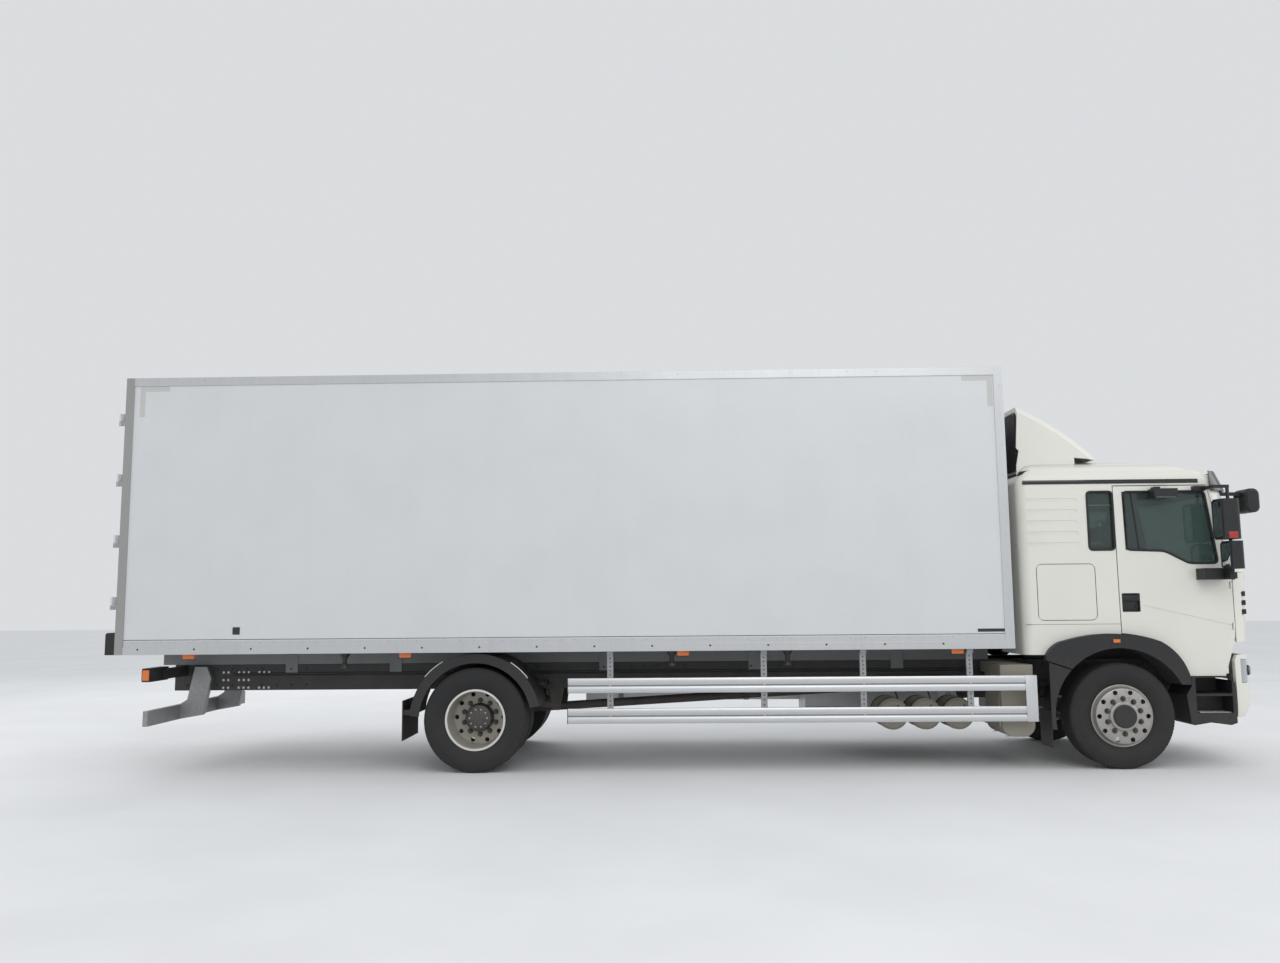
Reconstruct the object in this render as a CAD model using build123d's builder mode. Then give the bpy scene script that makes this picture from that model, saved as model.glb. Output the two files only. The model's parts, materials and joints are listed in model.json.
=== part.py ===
from build123d import *
import os
from math import asin, cos, degrees, radians, sin

# Refrigerated truck: two-axle chassis, tilting sleeper cab, insulated box.
# Millimetres. +X forward, +Y to the left, +Z up. The origin is on the ground,
# under the middle of the whole length. Right-hand pieces are modelled at -Y,
# and the left-hand ones are their mirror images.

# Clearances
seat = 0.3  # between pieces that seat on each other along a curve
running = 0.5  # between a shaft and its bore
door_gap = 9  # round the cab doors
hinge_gap = 10  # between a cab door and the front panel

# Axles and wheels
wheelbase = 6300
front_overhang = 1510  # front axle to the front mirror
tyre_radius = 507
tyre_width = 312
bead_radius = 287
bead_half = 113
shoulder_radius = 400  # where the side wall is widest
tread_half = 128
flange_radius = 298.5
flange_wall = 8
rim_wall = 9
disc_offset = 160  # rim centre to the inner side of its disc
disc_wall = 12
disc_radius = 262  # flat part of the disc
disc_slant = 42  # how far its slanted edge reaches along the axle
wheel_flats = 48
front_wheel_y = 1034
rear_pair_y = 912  # plane where the two rims of a pair meet
hub_radius = 139
stud_circle = 167.5
vent_count = 10
vent_circle = 234
vent_radius = 23
brake_radius = 215
brake_wall = 42
drum_radius = 205
hub_cap = 22  # front hub beyond the disc
hub_length = 120  # rear hub beyond the pair's plane
spindle_reach = 116  # beyond the front rim's centre
tube_reach = 58  # axle tube beyond the pair's plane
spindle_radius = 45
axle_tube_radius = 75
banjo_half = 270
banjo_radius = 215
pinion_reach = 400  # ahead of the rear axle

# Steering
kingpin_y = 870
kingpin_radius = 25
knuckle_radius = 55
axle_eye_height = 120
steering_arm = 180
tie_rod_radius = 22
tie_rod_drop = 137  # wheel centre down to the tie rod

# Ladder frame and subframe
frame_half = 430
rail_bottom = 747
rail_height = 270
rail_flange = 85
rail_web = 8
rail_tuck = 214  # box rear face to the rear end of the rails
rail_front = 1050  # ahead of the front axle
front_beam_half = 740
front_beam_bottom = 590
front_beam_height = 110
tow_pin_x = 1230  # ahead of the front axle
tow_pin_radius = 20
coupling_z = 880
coupling_width = 160
coupling_height = 100
coupling_hole = 10.5
member_height = 110
member_depth = 90
subframe_width = 60
console_wall = 8
console_width = 130

# Engine and gearbox, with lengths from the front axle
engine_length = 1100
engine_half = 330
engine_top = 1400
gearbox_front = 450
gearbox_length = 800
gearbox_radius = 180
gearbox_z = 765
shaft_radius = 45
shaft_gap = 3.4  # between the pinion and the slanted end of the shaft

# Box body
box_gap = 149  # cab rear wall to the box
box_length = 8835
box_half = 1300
box_bottom = 1166
box_top = 3950
panel_recess = 8  # the edge rails stand this far outside the panels
side_wall = 62
front_wall = 90
roof_wall = 90
floor_top = 1390
bearer_height = 76
bearer_width = 60
bearer_pitch = 565
portal_depth = 84
portal_post = 60
portal_header = 95
rail_lip = 4
top_rail_height = 85
bottom_rail_height = 130
bottom_rail_step = 75
front_post_width = 93
buffer_depth = 60
buffer_seat = 36
buffer_height = 232
buffer_width = 110

# Rear doors
rear_door_gap = 8
rear_hinge_back = 52  # hinge axis behind the doors' outer face
rear_hinge_tuck = 10  # hinge axis inside the box's side
rear_hinge_radius = 13
rear_hinge_height = 80
rear_hinge_count = 4
rear_knuckle_gap = 2
post_knuckle = 45
knuckle_half = 8
lock_rod_radius = 11
lock_rod_stand = 20  # rod axis behind the doors' outer face
lock_rods_y = (-230, -720)
handle_level = 1735
handle_reach = 420
hinge_strap = 170

# Cab, with lengths from the front axle
cab_rear = -890
cab_half = 1120
cab_wall = 45
cab_bottom = 1094
cab_waist = 1889
cab_top = 2790
cab_rear_radius = 90
corner_radius = 220
nose_bow = 60
corner_chords = 6  # narrow flats round a front corner, across the nose, round a rear corner
nose_chords = 6
heel_chords = 3
floor_bottom = 1300
floor_wall = 40
tunnel_half = 460
tunnel_top = 1640
tunnel_front = 720
panel_wall = 25
panel_bottom = 1205
panel_lean = 37
nose_wall_bottom = 1250
pivot_x = 1240
pivot_z = 1020
pivot_radius = 20
pivot_inner = 380
pivot_lug = 50
strip_height = 41
screen_bottom = 1955
screen_top = 2712
screen_half_low = 965
screen_half_high = 900
screen_corner = 60
groove_x = -570  # pressed grooves in the rear of the cab's side
groove_z = 2400
groove_pitch = 110
groove_count = 5
groove_length = 520
groove_height = 34
groove_depth = 4
hatch_x = -451
hatch_z = 1706
hatch_length = 582
hatch_height = 560
hatch_corner = 60
hatch_gap = 7
quarter_length = 250
quarter_height = 580
quarter_corner = 38

# Cab doors, with lengths from the front axle
door_rear = 58
door_front = 1165
door_top_front = 975
door_top = 2752
door_foot = 1044
door_sill = 880
door_wall = 55
door_chin = 1205
pillar_top_front = 950
handle_x = 172
handle_bottom = 1506
handle_length = 176
handle_height = 184
handle_recess = 18
door_notch = 15  # each way from the hinge axis
window_wall = 8
glass_inset = 8
grille_half = 760
grille_bottom = 1290
grille_top = 1700
grille_pitch = 92
grille_bars = 4
slots_z = (1500, 1588, 1676)  # air slots at the corners of the front panel
slot_height = 42
door_hinges_z = (1360, 1760)
door_hinge_height = 60
door_hinge_half = 8
door_pin_radius = 5
door_axis_depth = 1  # below the skin
door_axis_inset = 10
door_lug_depth = 22
door_lug_tuck = 10  # the lugs stay this far inside the panel's inner face
door_lug_length = 24

# Roof fairing and sun visor, with lengths from the front axle
fairing_half = 980
fairing_wall = 14
fairing_bevel = 60
fairing_top = 3604
visor_bottom = 2700
visor_top = 2900
visor_rear = 1010

# Front arch
arch_radius = 650
arch_wall = 12
flare_half = 1200
flare_depth = 90
seam_angle = 136
arch_front_angle = 27
mudguard_end_angle = 191
mudguard_back = 690
flap_bottom = 205

# Bumper, lamps and steps, with lengths from the front axle
bumper_half = 1150
bumper_corner = 250
bumper_side = 1094
bumper_rear = 1126
bumper_bow = 96
bumper_wall = 60
bumper_top = 1080
bumper_chin = 600
bumper_bottom = 485
chin_tuck = 60
lamp_bottom = 810
lamp_top = 1040
lamp_inner = 790
lamp_rear = 1190
step_rear = 635
step_front = 1105
step_top = 868
step_bottom = 412
step_tread = 528
step_outer = 1160
step_inner = 760
step_wall = 30

# Side guards and tanks, with lengths from the rear axle
guard_rear = 912
guard_front = 5470
guard_tuck = 60  # rails inside the box's side
guard_depth = 30
guard_rail_height = 145
guard_bulge = 8
guard_groove = 8
guard_upper = 760
guard_lower = 467
guard_end_width = 108
guard_posts_x = (1329, 2835, 3802, 4837)
post_width = 60
post_depth = 30
air_tanks_x = (4148, 4476, 4804)
air_tank_radius = 155
air_tank_z = 507
air_tank_outer = 900
air_tank_length = 440
silencer_x = 5330
silencer_z = 600
silencer_length = 325
silencer_height = 594
silencer_inner = 560
silencer_outer = 1080
fuel_tank_rear = 3450
fuel_tank_length = 1500

# Rear end, from the rear face of the box
underrun_tuck = 270
lamp_tuck = 234
markers_x = (-2856, -695, 2046, 4720)  # from the rear axle

# Frame of reference
rear_overhang = box_length + box_gap - cab_rear - wheelbase + buffer_seat + buffer_depth
overall_length = rear_overhang + wheelbase + front_overhang
front_axle = overall_length / 2 - front_overhang
rear_axle = front_axle - wheelbase
axle_z = tyre_radius
bead_wall = shoulder_radius - bead_radius - 1  # slanted part of the side wall
bead_rise = (flange_radius - bead_radius) * (tyre_width / 2 - bead_half) / bead_wall
rail_top = rail_bottom + rail_height
box_front = front_axle + cab_rear - box_gap
door_face = box_front - box_length
portal_front = door_face + portal_depth
panel_half = box_half - panel_recess
inner_half = panel_half - side_wall
rear_hinge_y = box_half - rear_hinge_tuck
guard_half = box_half - guard_tuck
door_axis_x = front_axle + door_front - door_axis_inset
door_axis_y = cab_half - door_axis_depth
panel_inner = cab_half - panel_wall - seat
panel_top = cab_waist - 5
cab_depth = 2500  # longer than the cab, for the prisms that it is cut from
quarter_window = (front_axle - 80, 2410)


def block(x, y, z, mode=Mode.ADD):
    """Box between two corners, given as (low, high) on each axis."""
    with Locations(((x[0] + x[1]) / 2, (y[0] + y[1]) / 2, (z[0] + z[1]) / 2)):
        Box(x[1] - x[0], y[1] - y[0], z[1] - z[0], mode=mode)


def right_plane(y):
    """Vertical plane at -y whose own axes are +X and +Z; it faces outwards."""
    return Plane.XZ.offset(y)


def wheel_plane(x):
    """Plane through a wheel's axis: its axes are +Y and the radius upwards."""
    return Plane(origin=(x, 0, axle_z), x_dir=(0, 1, 0), z_dir=(1, 0, 0))


def axle_axis(x):
    return Axis((x, 0, axle_z), (0, 1, 0))


def arc_points(centre, radius, start, sweep, chords):
    """Points along an arc, for a panel that is pressed in narrow flats."""
    points = []
    for n in range(chords + 1):
        angle = radians(start + sweep * n / chords)
        points.append((centre[0] + radius * cos(angle), centre[1] + radius * sin(angle)))
    return points


def plan_outline(z, rear, side_front, half, corner, bow, rear_corner, inset=0):
    """Plan of a cab-like body at height z: straight sides, round corners, bowed nose."""
    width = half - corner
    bow_radius = (width**2 + bow**2) / (2 * bow)
    bow_angle = degrees(asin(width / bow_radius))
    bow_centre = side_front + corner - inset + bow - bow_radius
    turn = corner - inset
    heel = rear_corner - inset
    # columns: centre of the arc, radius, start, sweep, chords
    arcs = (
        ((side_front, -width), turn, -90, 90, corner_chords),
        ((bow_centre, 0), bow_radius, -bow_angle, 2 * bow_angle, nose_chords),
        ((side_front, width), turn, 0, 90, corner_chords),
        ((rear + rear_corner, half - rear_corner), heel, 90, 90, heel_chords),
        ((rear + rear_corner, rear_corner - half), heel, 180, 90, heel_chords),
    )
    line = []
    for arc in arcs:
        for point in arc_points(*arc):
            if not line or (Vector(*point) - Vector(*line[-1])).length > 0.01:
                line.append(point)
    with BuildSketch(Plane.XY.offset(z)) as plan:
        with BuildLine():
            Polyline(*line, close=True)
        make_face()
    return plan.sketch


def cab_plan(z, side_front, half=cab_half, rear=cab_rear, inset=0):
    return plan_outline(
        z,
        front_axle + rear,
        front_axle + side_front,
        half,
        corner_radius,
        nose_bow,
        cab_rear_radius,
        inset,
    )


def bumper_plan(z, tuck=0, inset=0):
    return plan_outline(
        z,
        front_axle,
        front_axle + bumper_side - tuck,
        bumper_half,
        bumper_corner,
        bumper_bow,
        bumper_corner,
        inset,
    )


def front_beam():
    """Beam between the rail ends and the bow of the bumper."""
    with BuildPart() as beam:
        outline = bumper_plan(front_beam_bottom, inset=bumper_wall + seat)
        extrude(outline, amount=front_beam_height)
        block(
            (rail_end - 60, front_axle + cab_depth),
            (-front_beam_half, front_beam_half),
            (front_beam_bottom, front_beam_bottom + front_beam_height),
            mode=Mode.INTERSECT,
        )
    return beam.part


def nose_prism(low, high, front_low, front_high, half, inset):
    """Prism that leans from one side front to another, longer than the cab."""
    rise = Vector(front_high - front_low, 0, high - low)
    with BuildPart() as nose:
        face = cab_plan(low, front_low, half=half, rear=-cab_depth, inset=inset)
        extrude(face, amount=rise.length, dir=rise.normalized())
    return nose.part


def lean_solid(low, high, front_low, front_high, inset=0, half=cab_half):
    """Cab body between two heights whose nose leans from one side front to another."""
    with BuildPart() as body:
        extrude(cab_plan(low, cab_depth, half=half, inset=inset), amount=high - low)
        nose = nose_prism(low, high, front_low, front_high, half, inset)
        add(nose, mode=Mode.INTERSECT)
    return body.part


def pillar_solid(inset):
    """Upper half of the cab between waist and roof, as a solid."""
    return lean_solid(cab_waist, cab_top, door_front, pillar_top_front, inset)


def panel_front(z):
    """Side front of the leaning front panel at height z, from the front axle."""
    return door_front - panel_lean * (panel_top - z) / (panel_top - panel_bottom)


def nose_solid(bottom, inset):
    """Nose of the cab below the waist, which leans back towards the bumper."""
    return lean_solid(bottom, panel_top, panel_front(bottom), door_front, inset)


def arch_point(angle, radius=arch_radius):
    """Point of the front arch, in X and Z, at an angle up from straight ahead."""
    return (
        front_axle + radius * cos(radians(angle)),
        axle_z + radius * sin(radians(angle)),
    )


def flare_line(inset=0):
    """Points of the flare's outer line, from the seam forward to its foot."""
    line = []
    for along, z in (
        (-715, 1045),
        (-655, 1160),
        (-520, 1232),
        (-60, 1297),
        (400, 1222),
        (585, 1060),
        (667, 881),
    ):
        span = Vector(along, z - axle_z).length
        share = 1 - inset / span
        line.append((front_axle + along * share, axle_z + (z - axle_z) * share))
    return line


def flare_face(inset=0):
    """Face of the black arch flare between its outer line and the arch."""
    line = flare_line(inset)
    radius = arch_radius + inset
    seam = arch_point(seam_angle - inset / 11, radius)
    toe = arch_point(arch_front_angle + inset / 11, radius)
    with BuildSketch() as face:
        with BuildLine():
            Line(seam, line[0])
            for start in (0, 2, 4):
                ThreePointArc(*line[start : start + 3])
            Line(line[6], (line[6][0] + 4, toe[1]))
            Line((line[6][0] + 4, toe[1]), toe)
            ThreePointArc(toe, arch_point(80, radius), seam)
        make_face()
    return face.sketch


def arch_cut():
    """Everything under the flare's outer line, to clear the side panels."""
    line = flare_line()
    with BuildSketch() as face:
        with BuildLine():
            for start in (0, 2, 4):
                ThreePointArc(*line[start : start + 3])
            Polyline(line[6], (line[6][0], 700), (line[0][0], 700), line[0])
        make_face()
    return face.sketch


def door_opening(grow=0):
    """Straight-sided outline of a cab door in X and Z, grown for its opening."""
    x = front_axle
    with BuildSketch() as face:
        with BuildLine():
            Polyline(
                (x + door_rear, door_top),
                (x + door_rear + 12, door_sill),
                (x + door_foot, door_sill),
                (x + door_front - 15, door_chin),
                (x + door_front, door_chin + 100),
                (x + door_front, cab_waist),
                (x + door_top_front, door_top),
                close=True,
            )
        make_face()
        if grow:
            offset(amount=grow, kind=Kind.INTERSECTION)
    return face.sketch


def door_face_outline():
    """Outline of a cab door in X and Z, cut back round the arch flare."""
    with BuildSketch() as face:
        add(door_opening())
        with BuildSketch(mode=Mode.PRIVATE) as arch:
            add(arch_cut())
            offset(amount=door_gap, kind=Kind.INTERSECTION)
        add(arch.sketch, mode=Mode.SUBTRACT)
    return face.sketch


def window_outline():
    """Door window in X and Z: level top, raked front, sill that dips forward."""
    x = front_axle
    with BuildSketch() as face:
        with BuildLine():
            FilletPolyline(
                (x + 151, 2696),
                (x + 161, 2118),
                (x + 530, 2104),
                (x + 764, 1980),
                (x + 1046, 1980),
                (x + 953, 2696),
                radius=(30, 35, 120, 90, 40, 35),
                close=True,
            )
        make_face()
    return face.sketch


# Ladder frame: two channel rails, upper crossmembers, end beams
member_x = (
    rear_axle - 2650,
    rear_axle - 1750,
    rear_axle - 850,
    rear_axle + 850,
    rear_axle + 1850,
    rear_axle + 2850,
    rear_axle + 3850,
    rear_axle + 4850,
)
with BuildPart() as frame_rails:
    rail_start = door_face + rail_tuck
    rail_end = front_axle + rail_front
    with BuildSketch(Plane.YZ.offset(rail_start)):
        with BuildLine():
            Polyline(
                (-frame_half, rail_bottom),
                (-frame_half + rail_flange, rail_bottom),
                (-frame_half + rail_flange, rail_bottom + rail_web),
                (-frame_half + rail_web, rail_bottom + rail_web),
                (-frame_half + rail_web, rail_top - rail_web),
                (-frame_half + rail_flange, rail_top - rail_web),
                (-frame_half + rail_flange, rail_top),
                (-frame_half, rail_top),
                close=True,
            )
        make_face()
    extrude(amount=rail_end - rail_start)
    mirror(about=Plane.XZ)

with BuildPart() as crossmembers:
    web = frame_half - rail_web
    member_top = rail_top - rail_web
    for x in member_x:
        block(
            (x - member_depth / 2, x + member_depth / 2),
            (-web, web),
            (member_top - member_height, member_top),
        )
    # rear end beam with the holes of a coupling, and the mid axle bridge
    block(
        (rail_start, rail_start + 12),
        (-web, web),
        (rail_bottom + rail_web, member_top),
    )
    with BuildSketch(Plane.YZ.offset(rail_start)):
        with Locations((0, coupling_z)):
            with GridLocations(coupling_width, coupling_height, 2, 2):
                Circle(coupling_hole)
    extrude(amount=12, mode=Mode.SUBTRACT)
    block((rear_axle - 45, rear_axle + 45), (-web, web), (member_top - 60, member_top))
    # front beam, with the hole of the tow pin
    add(front_beam())
    for side in (-1, 1):
        block(
            (rail_end - 60, rail_end),
            sorted((side * (frame_half - rail_flange), side * frame_half)),
            (690, rail_bottom),
        )
        # tilt bearing posts of the cab
        block(
            (front_axle + pivot_x - 45, front_axle + pivot_x + 45),
            sorted((side * pivot_inner, side * (pivot_inner + pivot_lug))),
            (690, pivot_z),
        )
    with Locations(Plane(origin=(front_axle + pivot_x, 0, pivot_z), z_dir=(0, 1, 0))):
        for side in (-1, 1):
            with Locations((0, 0, side * (pivot_inner + pivot_lug / 2))):
                Cylinder(45, pivot_lug)
            with Locations((0, 0, side * (pivot_inner + pivot_lug + 35))):
                Cylinder(pivot_radius, 2 * pivot_lug + 10)
    with Locations((front_axle + tow_pin_x, 0, 645)):
        Cylinder(tow_pin_radius, 200, mode=Mode.SUBTRACT)

# Subframe between the ladder frame and the box, with its bolted consoles
console_x = (
    rear_axle - 2105,
    rear_axle - 990,
    rear_axle + 1236,
    rear_axle + 2810,
    rear_axle + 4300,
)
with BuildPart() as subframe:
    for side in (-1, 1):
        inner = side * (frame_half - subframe_width)
        block(
            (door_face + portal_depth, box_front - panel_recess),
            sorted((inner, side * frame_half)),
            (rail_top, box_bottom + rail_lip),
        )
        for x in console_x:
            block(
                (x - console_width / 2, x + console_width / 2),
                sorted((side * frame_half, side * (frame_half + console_wall))),
                (rail_top - 95, rail_top + 100),
            )

# Floor: sandwich slab on cross bearers
with BuildPart() as box_floor:
    floor_rear = portal_front
    floor_front = box_front - rail_lip - front_wall
    slab_bottom = box_bottom + rail_lip + bearer_height
    block((floor_rear, floor_front), (-inner_half, inner_half), (slab_bottom, floor_top))
    bearer_count = int((floor_front - floor_rear) // bearer_pitch)
    bearer_x = (floor_rear + floor_front) / 2
    bearer_z = slab_bottom - bearer_height / 2
    with Locations((bearer_x, 0, bearer_z)):
        with GridLocations(bearer_pitch, 1, bearer_count, 1):
            Box(bearer_width, 2 * inner_half, bearer_height)

# Side walls, front wall and roof
with BuildPart() as box_wall_right:
    block(
        (portal_front, box_front - rail_lip),
        (-panel_half, -inner_half),
        (box_bottom + rail_lip, box_top - rail_lip),
    )
with BuildPart() as box_wall_left:
    mirror(box_wall_right.part, about=Plane.XZ)
with BuildPart() as box_front_wall:
    transom = box_half - top_rail_height
    block(
        (box_front - rail_lip - front_wall, box_front - rail_lip),
        (-transom, transom),
        (box_bottom + rail_lip, box_top - top_rail_height),
    )
with BuildPart() as box_roof:
    block(
        (portal_front, box_front - rail_lip - front_wall),
        (-inner_half, inner_half),
        (box_top - rail_lip - roof_wall, box_top - rail_lip),
    )

# Edge rails: top rail, stepped bottom rail, front posts and front transom
with BuildPart() as box_edge_rails:
    with BuildSketch(Plane.YZ.offset(portal_front)):
        for z, height, lip in (
            (box_top - top_rail_height, top_rail_height, box_top - rail_lip),
            (box_bottom, bottom_rail_step, box_bottom),
        ):
            with Locations((-(panel_half + panel_recess / 2), z + height / 2)):
                Rectangle(panel_recess, height)
            with Locations((-(box_half - top_rail_height / 2), lip + rail_lip / 2)):
                Rectangle(top_rail_height, rail_lip)
        strip = bottom_rail_height - bottom_rail_step
        with Locations(
            (-(panel_half + rail_lip / 2), box_bottom + bottom_rail_step + strip / 2)
        ):
            Rectangle(rail_lip, strip)
    extrude(amount=box_front - portal_front)
    block(
        (box_front - front_post_width, box_front),
        (-box_half, -panel_half),
        (box_bottom, box_top),
    )
    block(
        (box_front - rail_lip, box_front),
        (-box_half, -transom),
        (box_bottom, box_top),
    )
    block(
        (box_front - rail_lip - front_wall, box_front),
        (-inner_half, -transom),
        (box_bottom + rail_lip, box_top - top_rail_height),
    )
    mirror(about=Plane.XZ)
    # front transom over the front wall, with its lips
    block(
        (box_front - rail_lip - front_wall, box_front),
        (-inner_half, inner_half),
        (box_top - top_rail_height, box_top - rail_lip),
    )
    block(
        (box_front - rail_lip, box_front),
        (-transom, transom),
        (box_top - top_rail_height, box_top),
    )
    block(
        (box_front - top_rail_height, box_front),
        (-transom, transom),
        (box_top - rail_lip, box_top),
    )

# Rear portal: stainless posts with the doors' hinge knuckles, header and sill
opening_half = box_half - portal_post
opening_top = box_top - portal_header
hinge_x = door_face - rear_hinge_back
hinge_span = (opening_top - floor_top) / rear_hinge_count
hinge_z = [floor_top + hinge_span * (n + 0.5) for n in range(rear_hinge_count)]
with BuildPart() as portal_posts:
    block(
        (door_face, portal_front),
        (-box_half, -opening_half),
        (box_bottom, box_top),
    )
    # a knuckle of the post carries each door knuckle from below
    for z in hinge_z:
        knuckle_top = z - rear_hinge_height / 2 - rear_knuckle_gap
        with Locations((hinge_x, -rear_hinge_y, knuckle_top - post_knuckle / 2)):
            Cylinder(rear_hinge_radius, post_knuckle)
        block(
            (hinge_x, door_face),
            (-rear_hinge_y - knuckle_half, -rear_hinge_y + knuckle_half),
            (knuckle_top - post_knuckle, knuckle_top),
        )
    mirror(about=Plane.XZ)
with BuildPart() as portal_beams:
    for low, high in ((box_bottom, floor_top), (opening_top, box_top)):
        block(
            (door_face, portal_front),
            (-opening_half, opening_half),
            (low, high),
        )

# Rubber dock buffers on steel seats at the lower corners
with BuildPart() as dock_buffers:
    front = door_face - buffer_seat
    with BuildSketch(right_plane(box_half - buffer_width)):
        with BuildLine():
            Polyline(
                (front - buffer_depth, box_bottom),
                (door_face, box_bottom),
                (door_face, box_bottom + buffer_height - 12),
                (front, box_bottom + buffer_height - 12),
                (front - buffer_depth + 14, box_bottom + buffer_height - 14),
                (front - buffer_depth, box_bottom + buffer_height - 30),
                close=True,
            )
        make_face()
    extrude(amount=buffer_width)
    mirror(about=Plane.XZ)

# Rear doors: insulated leaf, hinge straps with knuckles, two lock rods each
with BuildPart() as rear_door_right:
    leaf_outer = opening_half - rear_door_gap
    leaf_bottom = floor_top + rear_door_gap
    leaf_top = opening_top - rear_door_gap
    block(
        (door_face, portal_front),
        (-leaf_outer, -rear_door_gap / 2),
        (leaf_bottom, leaf_top),
    )
    for z in hinge_z:
        with Locations((hinge_x, -rear_hinge_y, z)):
            Cylinder(rear_hinge_radius, rear_hinge_height)
        with BuildSketch(Plane.XY.offset(z - rear_hinge_height / 2)):
            with BuildLine():
                Polyline(
                    (hinge_x, -rear_hinge_y - 6),
                    (hinge_x - 4, -rear_hinge_y + knuckle_half),
                    (door_face - 8, 4 - leaf_outer),
                    (door_face - 8, hinge_strap - leaf_outer),
                    (door_face, hinge_strap - leaf_outer),
                    (door_face, -leaf_outer),
                    close=True,
                )
            make_face()
        extrude(amount=rear_hinge_height)
    rod_x = door_face - lock_rod_stand
    for y in lock_rods_y:
        with Locations((rod_x, y, (leaf_bottom + leaf_top) / 2)):
            Cylinder(lock_rod_radius, leaf_top - leaf_bottom - 40)
        # guides on the door, a cam at each end
        for share in (0.02, 0.34, 0.66, 0.98):
            z = leaf_bottom + share * (leaf_top - leaf_bottom)
            block((rod_x - 14, door_face), (y - 32, y + 32), (z - 28, z + 28))
        # handle that lies level on the door
        block(
            (rod_x - 8, rod_x + 8),
            (y - handle_reach, y),
            (handle_level - 16, handle_level + 16),
        )
        block(
            (rod_x, door_face),
            (y - handle_reach + 20, y - handle_reach + 60),
            (handle_level - 30, handle_level + 30),
        )
with BuildPart() as rear_door_left:
    mirror(rear_door_right.part, about=Plane.XZ)

# Cab shell: skirts, rear wall, pillars, floor with engine tunnel, tilt lugs
def nose_frame():
    """Inner wall of the nose that the front panel seats on."""
    lap = panel_wall + seat
    with BuildPart() as frame:
        add(nose_solid(nose_wall_bottom, lap))
        extrude(cab_plan(panel_top, door_front, inset=lap), amount=cab_waist - panel_top)
        block(
            (front_axle + door_rear - 20, front_axle + cab_depth),
            (-cab_half, cab_half),
            (nose_wall_bottom, cab_waist),
            mode=Mode.INTERSECT,
        )
    return frame.part


def cabin_solid():
    """Room inside the cab, from its floor to the roof."""
    low = floor_bottom + floor_wall
    with BuildPart() as cabin:
        extrude(
            cab_plan(low, door_front - cab_wall, inset=cab_wall), amount=cab_waist - low
        )
        add(
            lean_solid(cab_waist, cab_top, door_front - 10, pillar_top_front, cab_wall)
        )
    return cabin.part


def windscreen_outline(inset=0):
    """Windscreen in Y and Z, wider at its foot."""
    low = screen_bottom + inset
    high = screen_top - inset
    with BuildSketch(Plane.YZ.offset(front_axle + door_front - 15)) as face:
        with BuildLine():
            FilletPolyline(
                (inset - screen_half_low, low),
                (screen_half_low - inset, low),
                (screen_half_high - inset, high),
                (inset - screen_half_high, high),
                radius=screen_corner,
                close=True,
            )
        make_face()
    return face.sketch


def side_plane(side, y):
    """Vertical plane at side times y whose own axes are +X and +Z, facing -Y."""
    return Plane.XZ.offset(-side * y)


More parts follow.
